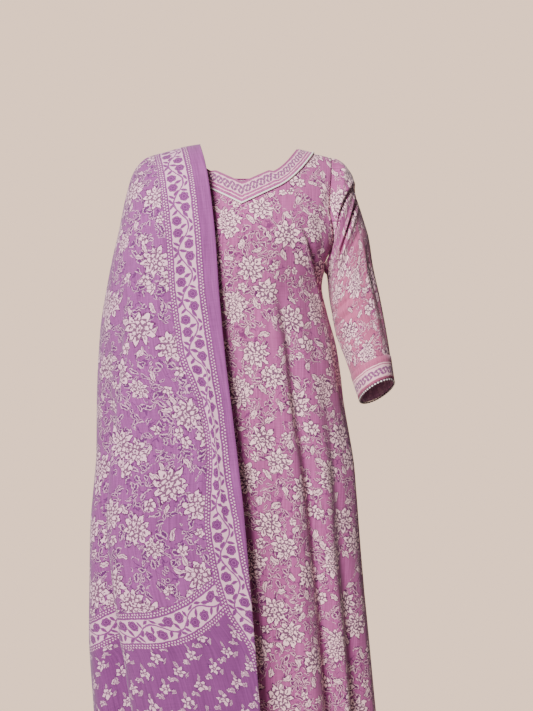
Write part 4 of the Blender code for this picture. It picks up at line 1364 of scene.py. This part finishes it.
def peony(bench, vector, length):
    """A full flower with rows of ragged petals: where it is white, and where its lines are dark."""
    angle = polar(bench, vector)
    outer = lobes(angle, 9)
    edge = outer**0.7 * 0.20 + tips(outer) * 0.22 + lobes(angle, 4, 0.9) * 0.12 + 0.54
    inner = lobes(angle, 7, 1.0)
    heart = lobes(angle, 5, 0.4)
    inner_edge = inner**0.7 * 0.12 + tips(inner) * 0.10 + 0.40
    heart_edge = heart * 0.10 + 0.17
    gaps = (outer * length < 0.50 - length * 0.34) & (length > inner_edge)
    inner_gaps = (inner * length < 0.23) & (length < inner_edge) & (length > heart_edge)
    rings = (abs(length - inner_edge) < 0.058) | (abs(length - heart_edge) < 0.058)
    veins = ((1 - outer) * length < 0.050) & (length > 0.58) & (length < 0.74)
    rim = (length > edge) & (length < edge + 0.10)
    dark = gaps | inner_gaps | rings | veins | rim | (length < 0.09)
    return length < edge, dark & (length < edge + 0.10)


def blossom(bench, vector, length, petals=5):
    """A small open flower."""
    angle = polar(bench, vector)
    lobe = lobes(angle, petals)
    edge = lobe**0.8 * 0.26 + tips(lobe) * 0.20 + 0.56
    gaps = (lobe * length < 0.24) & (length > 0.22)
    dark = gaps | (abs(length - 0.26) < 0.11) | ((length > edge) & (length < edge + 0.16))
    return length < edge, dark & (length < edge + 0.16)


def leaf(bench, vector):
    """A pointed leaf with its midrib and side veins, along x from -1 to 1."""
    x, y = bench.split(vector)
    width = (1 - x * x) * LEAF_WIDTH
    off = abs(y)
    inside = (off < width) & (abs(x) < 1.0)
    slant = (abs(x + off * 1.1) * 5.0).then("FRACT")
    veins = (off < 0.05) | ((slant < 0.22) & (off < width - 0.08))
    outline = (off > width) & (off < width + LEAF_RIM) & (abs(x) < 1.05)
    return inside, (veins & inside) | outline


def sprig_leaf(bench, vector):
    """A tiny leaf drawn in outline: its white outline and its dark middle."""
    x, y = bench.split(vector)
    width = (1 - x * x) * LEAF_WIDTH
    off = abs(y)
    near = abs(x) < 1.1
    middle = off < width - LEAF_RIM
    outside = (off > width + LEAF_RIM) & (off < width + 2 * LEAF_RIM)
    return (abs(off - width) < LEAF_RIM) & near, (middle | outside) & near


def sprigs(bench, vector, density, length, share, shift):
    """Tiny leaves at random places and turns, each in its own local frame."""
    moved = bench.vector("ADD", vector, (shift, shift, 0.0))
    settings = {"voronoi_dimensions": "2D"}
    cell = bench.node("ShaderNodeTexVoronoi", settings, {"Vector": moved, "Scale": density}, 2)
    tone = Sum(bench, cell.socket.node.outputs["Color"])
    first, second = bench.split(tone)
    offset = bench.scale(bench.vector("SUBTRACT", moved, cell), 1 / length)
    inputs = {0: offset, "Angle": first * (2 * math.pi)}
    turned = bench.node("ShaderNodeVectorRotate", {"rotation_type": "Z_AXIS"}, inputs)
    return turned, second < share


print("motifs: peony, blossom, leaf and sprigs")

# %% [markdown]
# The charts are in metres on the cloth: across, down, radius and turn in degrees. They follow the
# common repeat of such block prints, with peonies on a slant, blossoms and leaves between them.

# %% Charts of the prints
KURTI_TILE = (0.160, 0.1506)
KURTI_FIRST = (0.026, 0.380)
KURTI_SLANT = 0.07
KURTI_PEONIES = (
    (0.000, 0.000, 0.0236, 0), (0.026, 0.040, 0.0226, 40), (0.070, 0.089, 0.0248, 15),
    (0.125, 0.078, 0.0188, 60), (0.125, 0.056, 0.0166, 10),
)
KURTI_BLOSSOMS = (
    (0.094, -0.020, 0.0130, 10), (0.103, 0.135, 0.0095, 50), (0.142, 0.062, 0.0110, 20),
    (0.144, 0.032, 0.0085, 0), (0.043, -0.005, 0.0075, 30), (0.068, 0.006, 0.0068, 70),
    (0.083, 0.003, 0.0062, 15),
)
KURTI_LEAVES = (
    (0.006, 0.062, 0.0110, 125), (0.048, 0.010, 0.0100, 60), (0.095, 0.022, 0.0105, 80),
    (0.101, 0.098, 0.0110, 30), (0.108, 0.042, 0.0100, -40), (0.036, 0.092, 0.0100, 110),
    (0.015, 0.117, 0.0105, 20), (0.062, 0.124, 0.0110, -80), (0.147, 0.108, 0.0105, 75),
    (0.125, 0.132, 0.0100, -20), (0.074, 0.054, 0.0100, 140),
)
STOLE_TILE = (0.165, 0.280)
STOLE_FIRST = (0.111, 0.489)
STOLE_PEONIES = (
    (0.000, 0.000, 0.0270, 0), (-0.033, 0.038, 0.0260, 30), (0.041, 0.118, 0.0310, 10),
    (-0.010, 0.159, 0.0260, 50), (0.105, 0.055, 0.0240, 20), (0.100, 0.190, 0.0270, 0),
    (0.070, 0.225, 0.0180, 40),
)
STOLE_BLOSSOMS = (
    (0.022, 0.032, 0.0100, 0), (0.011, 0.049, 0.0105, 40), (0.125, 0.085, 0.0130, 20),
    (0.060, 0.020, 0.0095, 10), (-0.015, 0.205, 0.0095, 60), (0.075, 0.150, 0.0110, 30),
    (0.020, 0.235, 0.0100, 0),
)
STOLE_LEAVES = (
    (0.020, -0.028, 0.0120, 70), (0.033, -0.012, 0.0110, 20), (-0.030, 0.070, 0.0110, 120),
    (0.012, 0.085, 0.0110, 60), (0.072, 0.100, 0.0120, 20), (0.058, 0.085, 0.0110, 70),
    (0.015, 0.125, 0.0110, -30), (0.045, 0.160, 0.0110, 110), (0.080, 0.055, 0.0110, -50),
    (0.125, 0.155, 0.0120, 40), (0.035, 0.205, 0.0110, -70), (-0.030, 0.235, 0.0110, 15),
)
print(len(KURTI_PEONIES), "peonies to a repeat of the kurti,", len(STOLE_PEONIES), "of the stole")

# %% [markdown]
# The cotton is a plain weave of slightly uneven yarn: long faint slubs run both ways, and the dye has
# taken unevenly. The print is thin, so the weave shows through, and it has a faint broken edge. The
# ground between the flowers is filled with fine stems and tiny leaves.

# %% Printed cotton
PAPER = colour(255, 207, 215)
STOLE_PAPER = colour(232, 184, 203)
VIOLET_LINE = colour(80, 24, 76)
UPPER = (0.02, 0.16)
STEADY = 0.28
FLOWER_WHITE = 0.93
FLOWER_LINE = 0.90
FILLER_WHITE = 0.53
FILLER_DARK = 0.90
STEM_INK = 0.75
PATCH_LEVEL = 0.41

# How many waves a metre the print's lines have, and how far each moves them
WOBBLES = ((70.0, 0.0090), (260.0, 0.0042))

# How many tiny leaves a metre, their length, the share that is printed, and a shift, for two sizes
SPRIGS = ((72.0, 0.0068, 0.66, 0.0), (112.0, 0.0048, 0.58, 3.7))
PATCHES = 22.0
STEMS = 46.0
STEM_HALF = 0.016

# The yarns: how many a metre across and along, then how deep they, the vat and the streaks dye
WARP = (900.0, 26.0)
WEFT = (22.0, 760.0)
STREAKS = (330.0, 14.0)
YARN_DYE = 0.34
STREAK_DYE = 0.85
VAT_DYE = 0.14


def wobble(bench, vector, share=1.0):
    """The map with its lines a little unsteady, as a block printed by hand."""
    moved = vector
    for scale, reach in WOBBLES:
        way = bench.vector("SUBTRACT", bench.noise(vector, scale, 1.0, 1), (0.5, 0.5, 0.5))
        moved = bench.vector("ADD", moved, bench.scale(way, reach * share))
    return moved


def flowers(bench, vector, peonies, blossoms, leaves, tile):
    """White and dark masks of a chart's motifs. Flowers lie over leaves."""
    white, dark = leaf(bench, nearest(bench, vector, leaves, tile)[0])
    for draw, places in ((blossom, blossoms), (peony, peonies)):
        over_white, over_dark = draw(bench, *nearest(bench, vector, places, tile))
        cover = over_white | over_dark
        white = (white & (1 - cover)) | over_white
        dark = (dark & (1 - cover)) | over_dark
    return white, dark


def undergrowth(bench, vector, shift, density):
    """Tiny leaves and stems that fill the ground: white, dark, and stem masks."""
    patches = bench.noise(bench.vector("ADD", vector, (shift, 1.0, 0.0)), PATCHES, 1.0)
    whites, darks = [], []
    for scale, length, share, offset in SPRIGS:
        local, shown = sprigs(bench, vector, scale * density, length / density, share, shift + offset)
        inside, lines = sprig_leaf(bench, local)
        some = shown & (patches > PATCH_LEVEL)
        whites.append(inside & some)
        darks.append(lines & some)
    line = bench.noise(bench.vector("ADD", vector, (shift * 2, 0.0, 0.0)), STEMS * density, 1.5)
    stems = (abs(line - 0.5) < STEM_HALF) & (patches > PATCH_LEVEL + 0.01)
    return whites[0] | whites[1], darks[0] | darks[1], stems


def weave(bench, vector, roughness=0.86):
    """Slubs and yarn as a bump, and how far they lighten or darken the dye."""
    warp = bench.noise(bench.stretched(vector, *WARP), 1.0, 2.0)
    weft = bench.noise(bench.stretched(vector, *WEFT), 1.0, 2.0)
    yarn = warp + weft
    bump = bench.node("ShaderNodeBump", {}, {"Strength": 0.35, "Distance": 0.0006, "Height": yarn})
    bench.set("Normal", bump)
    bench.set("Roughness", roughness)
    bench.set("Specular IOR Level", 0.22)
    bench.set("Sheen Weight", 0.18)
    bench.set("Sheen Roughness", 0.55)
    return yarn


def dyed(bench, vector, ground, yarn, depth=VAT_DYE):
    """The dyed ground, uneven by the yarn and by the vat."""
    vat = bench.noise(vector, 9.0, 2.0)
    streaks = bench.noise(bench.stretched(vector, *STREAKS), 1.0, 3.0)
    uneven = (yarn - 1.0) * YARN_DYE + (vat - 0.5) * depth + (streaks - 0.5) * STREAK_DYE
    return bench.scale(ground, uneven + 1.0)


def ink(bench, base, mask, tint, strength):
    """One colour of the block laid over the cloth where its mask is."""
    return bench.mix(mask * strength, base, tint)


def printed_cotton(material, ground, mid, first, slant, shift, upper=None):
    """The flowered cotton of the kurti. upper is the dye near the top of a sleeve."""
    bench = Bench(material)
    plain = bench.uv()
    u, v = bench.split(plain)
    u = u - (v - first[1]) * slant - first[0] + shift[0]
    vector = wobble(bench, bench.join(u, v - first[1] + shift[1]))
    yarn = weave(bench, plain)
    if upper:
        ground = bench.mix(bench.smooth(abs(v), *UPPER), upper, ground)
    base = dyed(bench, plain, ground, yarn)
    filler_white, filler_dark, stems = undergrowth(bench, vector, 5.0, 1.0)
    base = ink(bench, base, stems, mid, STEM_INK)
    base = ink(bench, base, filler_dark, mid, FILLER_DARK)
    base = ink(bench, base, filler_white & (1 - filler_dark), PAPER, FILLER_WHITE)
    white, dark = flowers(bench, vector, KURTI_PEONIES, KURTI_BLOSSOMS, KURTI_LEAVES, KURTI_TILE)
    base = ink(bench, base, white, PAPER, FLOWER_WHITE)
    base = ink(bench, base, dark, VIOLET_LINE, FLOWER_LINE)
    bench.set("Base Color", base)


def right_side(piece_name):
    return next(piece for piece in pieces if piece.name == piece_name).data.materials[0]


GROUND = colour(162, 79, 134)
MID = colour(100, 36, 90)
SLEEVE_GROUND = colour(178, 90, 128)
SLEEVE_MID = colour(126, 56, 104)
BODY_SHIFTS = {"kurti_front_cloth": (0.0, 0.0), "kurti_back_cloth": (0.05, 0.04)}
SLEEVE_SHIFTS = {"sleeve_left_cloth": (0.03, 0.20), "sleeve_right_cloth": (0.08, 0.12)}
for piece_name, shift in BODY_SHIFTS.items():
    printed_cotton(right_side(piece_name), GROUND, MID, KURTI_FIRST, KURTI_SLANT, shift)
for piece_name, shift in SLEEVE_SHIFTS.items():
    printed_cotton(right_side(piece_name), SLEEVE_GROUND, SLEEVE_MID, (0.0, 0.0), 0.0, shift, GROUND)
print("kurti cotton:", len(right_side("kurti_front_cloth").node_tree.nodes), "nodes")

# %% [markdown]
# The stole has a field of large flowers, and a border along its long edge and across near the end:
# a plain margin, a dotted strip, a pale band with a winding stem of roses, and a dotted strip again.
# One drawing of the border serves both runs, since each only says how far across it a point is.

# %% Printed stole
MARGIN = 0.024
BAND_START = 0.036
BAND_END = 0.077
BORDER_END = 0.088
CROSS_AT = 0.8935
CROSS_LIFT = 0.127
CROSS_REACH = 0.235
BEHIND = (0.30, 0.36)
BEHIND_LIFT = 0.0155
DOT_PITCH = 0.0056
ROSE_TILE = (1.0, 0.090)
STEM_SWING = 0.0112
STEM_TOP = 0.046
ROSES = (
    (0.0475, 0.012, 0.0094, 0), (0.0658, 0.035, 0.0094, 40), (0.0658, 0.057, 0.0094, 10),
    (0.0475, 0.080, 0.0094, 25),
)
ROSE_LEAVES = (
    (0.0718, 0.0065, 0.0074, 128), (0.0590, 0.0010, 0.0078, 20), (0.0490, 0.0250, 0.0082, 60),
    (0.0672, 0.0190, 0.0072, 140), (0.0412, 0.0385, 0.0068, 60), (0.0545, 0.0462, 0.0076, 160),
    (0.0412, 0.0530, 0.0068, 120), (0.0612, 0.0700, 0.0082, 130), (0.0700, 0.0770, 0.0072, 40),
    (0.0460, 0.0670, 0.0070, 20), (0.0725, 0.0865, 0.0068, 60),
)
DOTS = (
    (MARGIN + 0.0035, 0.0, 0.0014, 0), (MARGIN + 0.0078, DOT_PITCH / 2, 0.0014, 0),
    (BAND_END + 0.0035, 0.0, 0.0014, 0), (BAND_END + 0.0078, DOT_PITCH / 2, 0.0014, 0),
)
BUNCH_TILE = (0.062, 0.054)
BUNCHES = (
    (0.0, 0.0, 0.0100, 0), (0.031, 0.027, 0.0100, 40), (0.016, 0.012, 0.0046, 10),
    (0.047, 0.039, 0.0046, 0),
)
BUNCH_LEAVES = (
    (0.010, 0.012, 0.0064, 60), (-0.012, 0.006, 0.0064, 130), (0.001, -0.014, 0.0060, 80),
    (0.041, 0.039, 0.0064, 60), (0.019, 0.033, 0.0064, 130), (0.032, 0.013, 0.0060, 80),
)
STOLE_GROUND = colour(134, 66, 128)
STOLE_MID = colour(84, 30, 88)
ROSE_VIOLET = colour(130, 64, 126)
ROSE_LINE = colour(88, 30, 88)
# Painted shade: how far the end panel's ground is darkened towards STOLE_MID
PANEL_PAINTED_SHADE = 0.40
STOLE_DENSITY = 0.80
STOLE_VAT_DYE = 0.16
STOLE_FILLER_DARK = 0.85
STOLE_FILLER_WHITE = 0.54
STOLE_FLOWER_LINE = 0.88
ROSE_STEM_HALF = 0.0016
EDGE_HALF = 0.0007
STRIP_INK = 0.45


def rose(bench, vector, length):
    """A full round rose: its body and its drawn lines."""
    angle = polar(bench, vector)
    lobe = lobes(angle, 6)
    edge = lobe * 0.16 + 0.84
    petals = (lobe * length < 0.15) & (length > 0.50)
    rings = (abs(length - 0.50 - lobes(angle, 5, 0.7) * 0.08) < 0.075) | (abs(length - 0.16) < 0.10)
    rim = (length > edge - 0.10) & (length < edge)
    return length < edge, (petals | rings | rim) & (length < edge)


def border(bench, s, t):
    """The border's drawing at s across it from the edge and t along it: white, violet and dark."""
    place = bench.join(s, t)
    band = (s > BAND_START) & (s < BAND_END)
    dots = (nearest(bench, place, DOTS, (1.0, DOT_PITCH))[1] < 1.0) & (1 - band)
    strips = (s > MARGIN) & (s < BORDER_END) & (1 - band)
    edges = (abs(s - BAND_START) < EDGE_HALF) | (abs(s - BAND_END) < EDGE_HALF)
    turn = (t - STEM_TOP) * (2 * math.pi / ROSE_TILE[1])
    centre = turn.then("COSINE") * -STEM_SWING + (BAND_START + BAND_END) / 2
    stem = abs(s - centre) < ROSE_STEM_HALF
    bloom, bloom_dark = rose(bench, *nearest(bench, place, ROSES, ROSE_TILE))
    blade, blade_dark = leaf(bench, nearest(bench, place, ROSE_LEAVES, ROSE_TILE)[0])
    violet = (bloom | blade | stem) & band
    dark = (bloom_dark | ((blade_dark & blade) & (1 - bloom))) & band
    white = (band & (1 - violet)) | dots
    return white, violet | (edges & (1 - dots)), dark | (strips & (1 - dots)) * STRIP_INK


def stole(material):
    """The stole's field, end panel and border, each where its mask is; the end panel's ground is darkened as
    painted shade.
    """
    bench = Bench(material)
    plain = bench.uv()
    vector = wobble(bench, plain)
    yarn = weave(bench, plain)
    base = dyed(bench, plain, STOLE_GROUND, yarn, STOLE_VAT_DYE)
    across, down = bench.split(wobble(bench, plain, STEADY))
    down = abs(down)
    reach = (1 - across / CROSS_REACH).then("MAXIMUM", 0.0)
    lift = reach * reach * CROSS_LIFT + bench.smooth(across, *BEHIND) * BEHIND_LIFT
    cross = down + lift - (CROSS_AT - MARGIN)
    inner_run = across < BORDER_END
    cross_run = (cross > MARGIN) & (cross < BORDER_END) & (1 - inner_run)
    s = across * inner_run + cross * cross_run
    t = down * inner_run + across * cross_run
    edging = inner_run | cross_run
    panel = (cross > BORDER_END) & (1 - edging)
    field = (1 - edging) & (1 - panel)

    first = (STOLE_FIRST[0], STOLE_FIRST[1] + over_shoulder, 0.0)
    from_first = bench.vector("SUBTRACT", vector, first)
    filler_white, filler_dark, stems = undergrowth(bench, vector, 9.0, STOLE_DENSITY)
    filler_white = filler_white & field & (1 - filler_dark)
    white, dark = flowers(bench, from_first, STOLE_PEONIES, STOLE_BLOSSOMS, STOLE_LEAVES, STOLE_TILE)
    base = ink(bench, base, stems & field, STOLE_MID, STEM_INK)
    base = ink(bench, base, filler_dark & field, STOLE_MID, STOLE_FILLER_DARK)
    base = ink(bench, base, filler_white, STOLE_PAPER, STOLE_FILLER_WHITE)
    base = ink(bench, base, white & field, STOLE_PAPER, FLOWER_WHITE)
    base = ink(bench, base, dark & field, VIOLET_LINE, STOLE_FLOWER_LINE)

    # The end panel's ground is darkened towards STOLE_MID as painted shade; its leaves and small flowers
    # below are print
    base = ink(bench, base, panel, STOLE_MID, PANEL_PAINTED_SHADE)
    small_white, small_dark = blossom(bench, *nearest(bench, vector, BUNCHES, BUNCH_TILE))
    blade, blade_dark = leaf(bench, nearest(bench, vector, BUNCH_LEAVES, BUNCH_TILE)[0])
    base = ink(bench, base, blade & panel, STOLE_PAPER, 0.55)
    base = ink(bench, base, blade_dark & panel & (1 - small_white), STOLE_MID, 0.80)
    base = ink(bench, base, small_white & panel, STOLE_PAPER, 0.85)
    base = ink(bench, base, small_dark & panel, STOLE_MID, 0.85)

    pale, violet, lines = border(bench, s, t)
    base = ink(bench, base, pale & edging, STOLE_PAPER, 0.80)
    base = ink(bench, base, violet & edging, ROSE_VIOLET, 0.92)
    base = ink(bench, base, lines & edging, ROSE_LINE, 0.80)
    bench.set("Base Color", base)
    return bench


bench = stole(right_side("dupatta_cloth"))
print("stole:", len(bench.tree.nodes), "nodes")

# %% [markdown]
# The neck band and the cuff band are cut from a printed edging: a pale strip with a small winding
# motif between lavender stripes and a fine white line.

# %% Printed edgings
EDGING_TILE = (0.0150, 1.0)


def edging_motifs(start, width):
    """Small curled leaves in a strip that starts at a distance from the band's first edge."""
    middle = start + width / 2
    return (
        (0.0000, middle - 0.0040, 0.0046, 35), (0.0038, middle + 0.0042, 0.0044, -40),
        (0.0076, middle - 0.0036, 0.0046, -25), (0.0112, middle + 0.0038, 0.0046, 50),
        (0.0056, middle + 0.0002, 0.0036, 80), (0.0132, middle - 0.0006, 0.0036, 10),
    )


def printed_edging(material, ground, stripes, strip):
    """stripes are the places and half widths of white lines; strip is the pale strip's start and end."""
    bench = Bench(material)
    plain = bench.uv()
    yarn = weave(bench, plain)
    base = dyed(bench, plain, ground, yarn)
    vector = wobble(bench, plain, 0.30)
    v = bench.split(vector)[1]
    inside = (v > strip[0]) & (v < strip[1])
    curls = edging_motifs(strip[0], strip[1] - strip[0])
    blade, blade_dark = leaf(bench, nearest(bench, vector, curls, EDGING_TILE)[0])
    base = ink(bench, base, inside, PAPER, 0.68)
    base = ink(bench, base, blade & inside, ROSE_VIOLET, 0.90)
    base = ink(bench, base, blade_dark & inside, MID, 0.80)
    for place, half_width in stripes:
        base = ink(bench, base, abs(v - place) < half_width, PAPER, 0.85)
    bench.set("Base Color", base)


NECK_STRIPES = ((0.0248, 0.0008),)
NECK_PALE = (0.0028, 0.0202)
CUFF_STRIPES = ((0.0140, 0.0009),)
CUFF_PALE = (0.0170, 0.0395)
for piece_name in ("neck_band_front_cloth", "neck_band_back_cloth"):
    printed_edging(right_side(piece_name), GROUND, NECK_STRIPES, NECK_PALE)
for piece_name in ("cuff_band_left_cloth", "cuff_band_right_cloth"):
    printed_edging(right_side(piece_name), SLEEVE_GROUND, CUFF_STRIPES, CUFF_PALE)
print("edgings printed")

# %% [markdown]
# The wrong side of each piece is the same cotton, paler, with the print only faintly soaked through.
# The cords are cotton thread: white round the neck, white and dark by turns at the cuff.

# %% Wrong sides and cords
THREAD_TWIST = 900.0
WRONG_SIDE = colour(180, 118, 162)
SLEEVE_WRONG_SIDE = colour(186, 126, 158)


def wrong_side(material, ground):
    """The back of the cloth, with traces of the print."""
    bench = Bench(material)
    plain = bench.uv()
    yarn = weave(bench, plain, 0.9)
    base = dyed(bench, plain, ground, yarn)
    soaked = bench.noise(wobble(bench, plain), 60.0, 2.0)
    base = ink(bench, base, soaked > 0.56, PAPER, 0.28)
    bench.set("Base Color", base)


def thread(material, tint, other=None, pitch=1.0):
    """Twisted thread along u; the other colour takes every second knot."""
    bench = Bench(material)
    plain = bench.uv()
    u, v = bench.split(plain)
    twist = (u * THREAD_TWIST + v).then("FRACT")
    shade = abs(twist - 0.5) * 0.25 + 0.86
    if other is not None:
        turn = (u / (2 * pitch)).then("FRACT")
        tint = bench.mix(turn < 0.5, tint, other)
    bench.set("Base Color", bench.scale(tint, shade))
    bench.set("Roughness", 0.75)
    bump = bench.node("ShaderNodeBump", {}, {"Strength": 0.4, "Distance": 0.0003, "Height": twist})
    bench.set("Normal", bump)


DARK_THREAD = colour(96, 62, 92)
WHITE_THREAD = colour(246, 238, 232)
for piece in pieces:
    materials = piece.data.materials
    if len(materials) > 1:
        wrong_side(materials[1], SLEEVE_WRONG_SIDE if "sleeve" in piece.name else WRONG_SIDE)
thread(right_side("neck_cord_knots"), WHITE_THREAD)
for side_name in ("left", "right"):
    thread(right_side("cuff_edge_" + side_name + "_knots"), WHITE_THREAD, DARK_THREAD, EDGE_KNOT)
bench = Bench(right_side("neck_piping_cloth"))
bench.set("Base Color", dyed(bench, bench.uv(), GROUND, weave(bench, bench.uv())))
print("wrong sides and cords done")

# %% [markdown]
# The floor is plain pale paper with a trace of tooth, so that it carries a soft shadow and no pattern.

# %% Floor finish
material = bpy.data.materials.new("floor paper")
bench = Bench(material)
place = bench.node("ShaderNodeTexCoord", {}, {}, 3)
tooth = bench.node("ShaderNodeTexNoise", {}, {"Vector": place, "Scale": 40.0})
bench.set("Base Color", bench.mix(tooth, colour(214, 204, 196), colour(222, 213, 205)))
bench.set("Roughness", 0.9)
floor.data.materials.append(material)
print("floor done")

# %% [markdown]
# Each piece is attached to the root body, and the CAD part that it stands for is hidden.
# For a sheet of cloth, its measured area is printed beside the area in the table.

BODY = ("kurti_front", "kurti_back")

# Node, finish, cut size, area of the cloth, how it is held, and what it rests on
SHEETS = (
    ("kurti_front", "printed_cotton", (0.72, 1.08), 0.550, "hung", ()),
    ("kurti_back", "printed_cotton", (0.72, 1.08), 0.530, "hung", ()),
    ("neck_band_front", "printed_banding", (0.36, 0.10), 0.0122, "laid", ("kurti_front",)),
    ("neck_band_back", "printed_banding", (0.36, 0.08), 0.0108, "laid", ("kurti_back",)),
    ("sleeve_left", "printed_cotton_sleeve", (0.44, 0.44), 0.118, "hung", BODY),
    ("sleeve_right", "printed_cotton_sleeve", (0.44, 0.44), 0.110, "hung", BODY),
    ("cuff_band_left", "printed_banding", (0.26, 0.048), 0.0122, "laid", ("sleeve_left",)),
    ("cuff_band_right", "printed_banding", (0.26, 0.048), 0.0110, "laid", ("sleeve_right",)),
    ("dupatta", "dupatta_cotton", (0.40, 2.36), 0.860, "draped", BODY + ("sleeve_right",)),
)
CORDS = (
    ("neck_piping_cloth", "neck_piping", "piping"),
    ("neck_cord_knots", "neck_cord", "white_cord"),
    ("cuff_edge_left_knots", "cuff_edge_left", "white_cord"),
    ("cuff_edge_right_knots", "cuff_edge_right", "white_cord"),
)
by_name = {piece.name: piece for piece in pieces}


def declare(piece, node):
    """Attach a piece to the root body and hide the CAD part that it stands for."""
    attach(piece, "root")
    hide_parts(node)


for node, slot_name, flat, area, held, under in SHEETS:
    piece = by_name[node + "_cloth"]
    declare(piece, node)
    measured = sum(face.area for face in piece.data.polygons) / 2
    print(piece.name, "measures", round(measured, 4), "of", area, "square metres")
for piece_name, node, slot_name in CORDS:
    declare(by_name[piece_name], node)
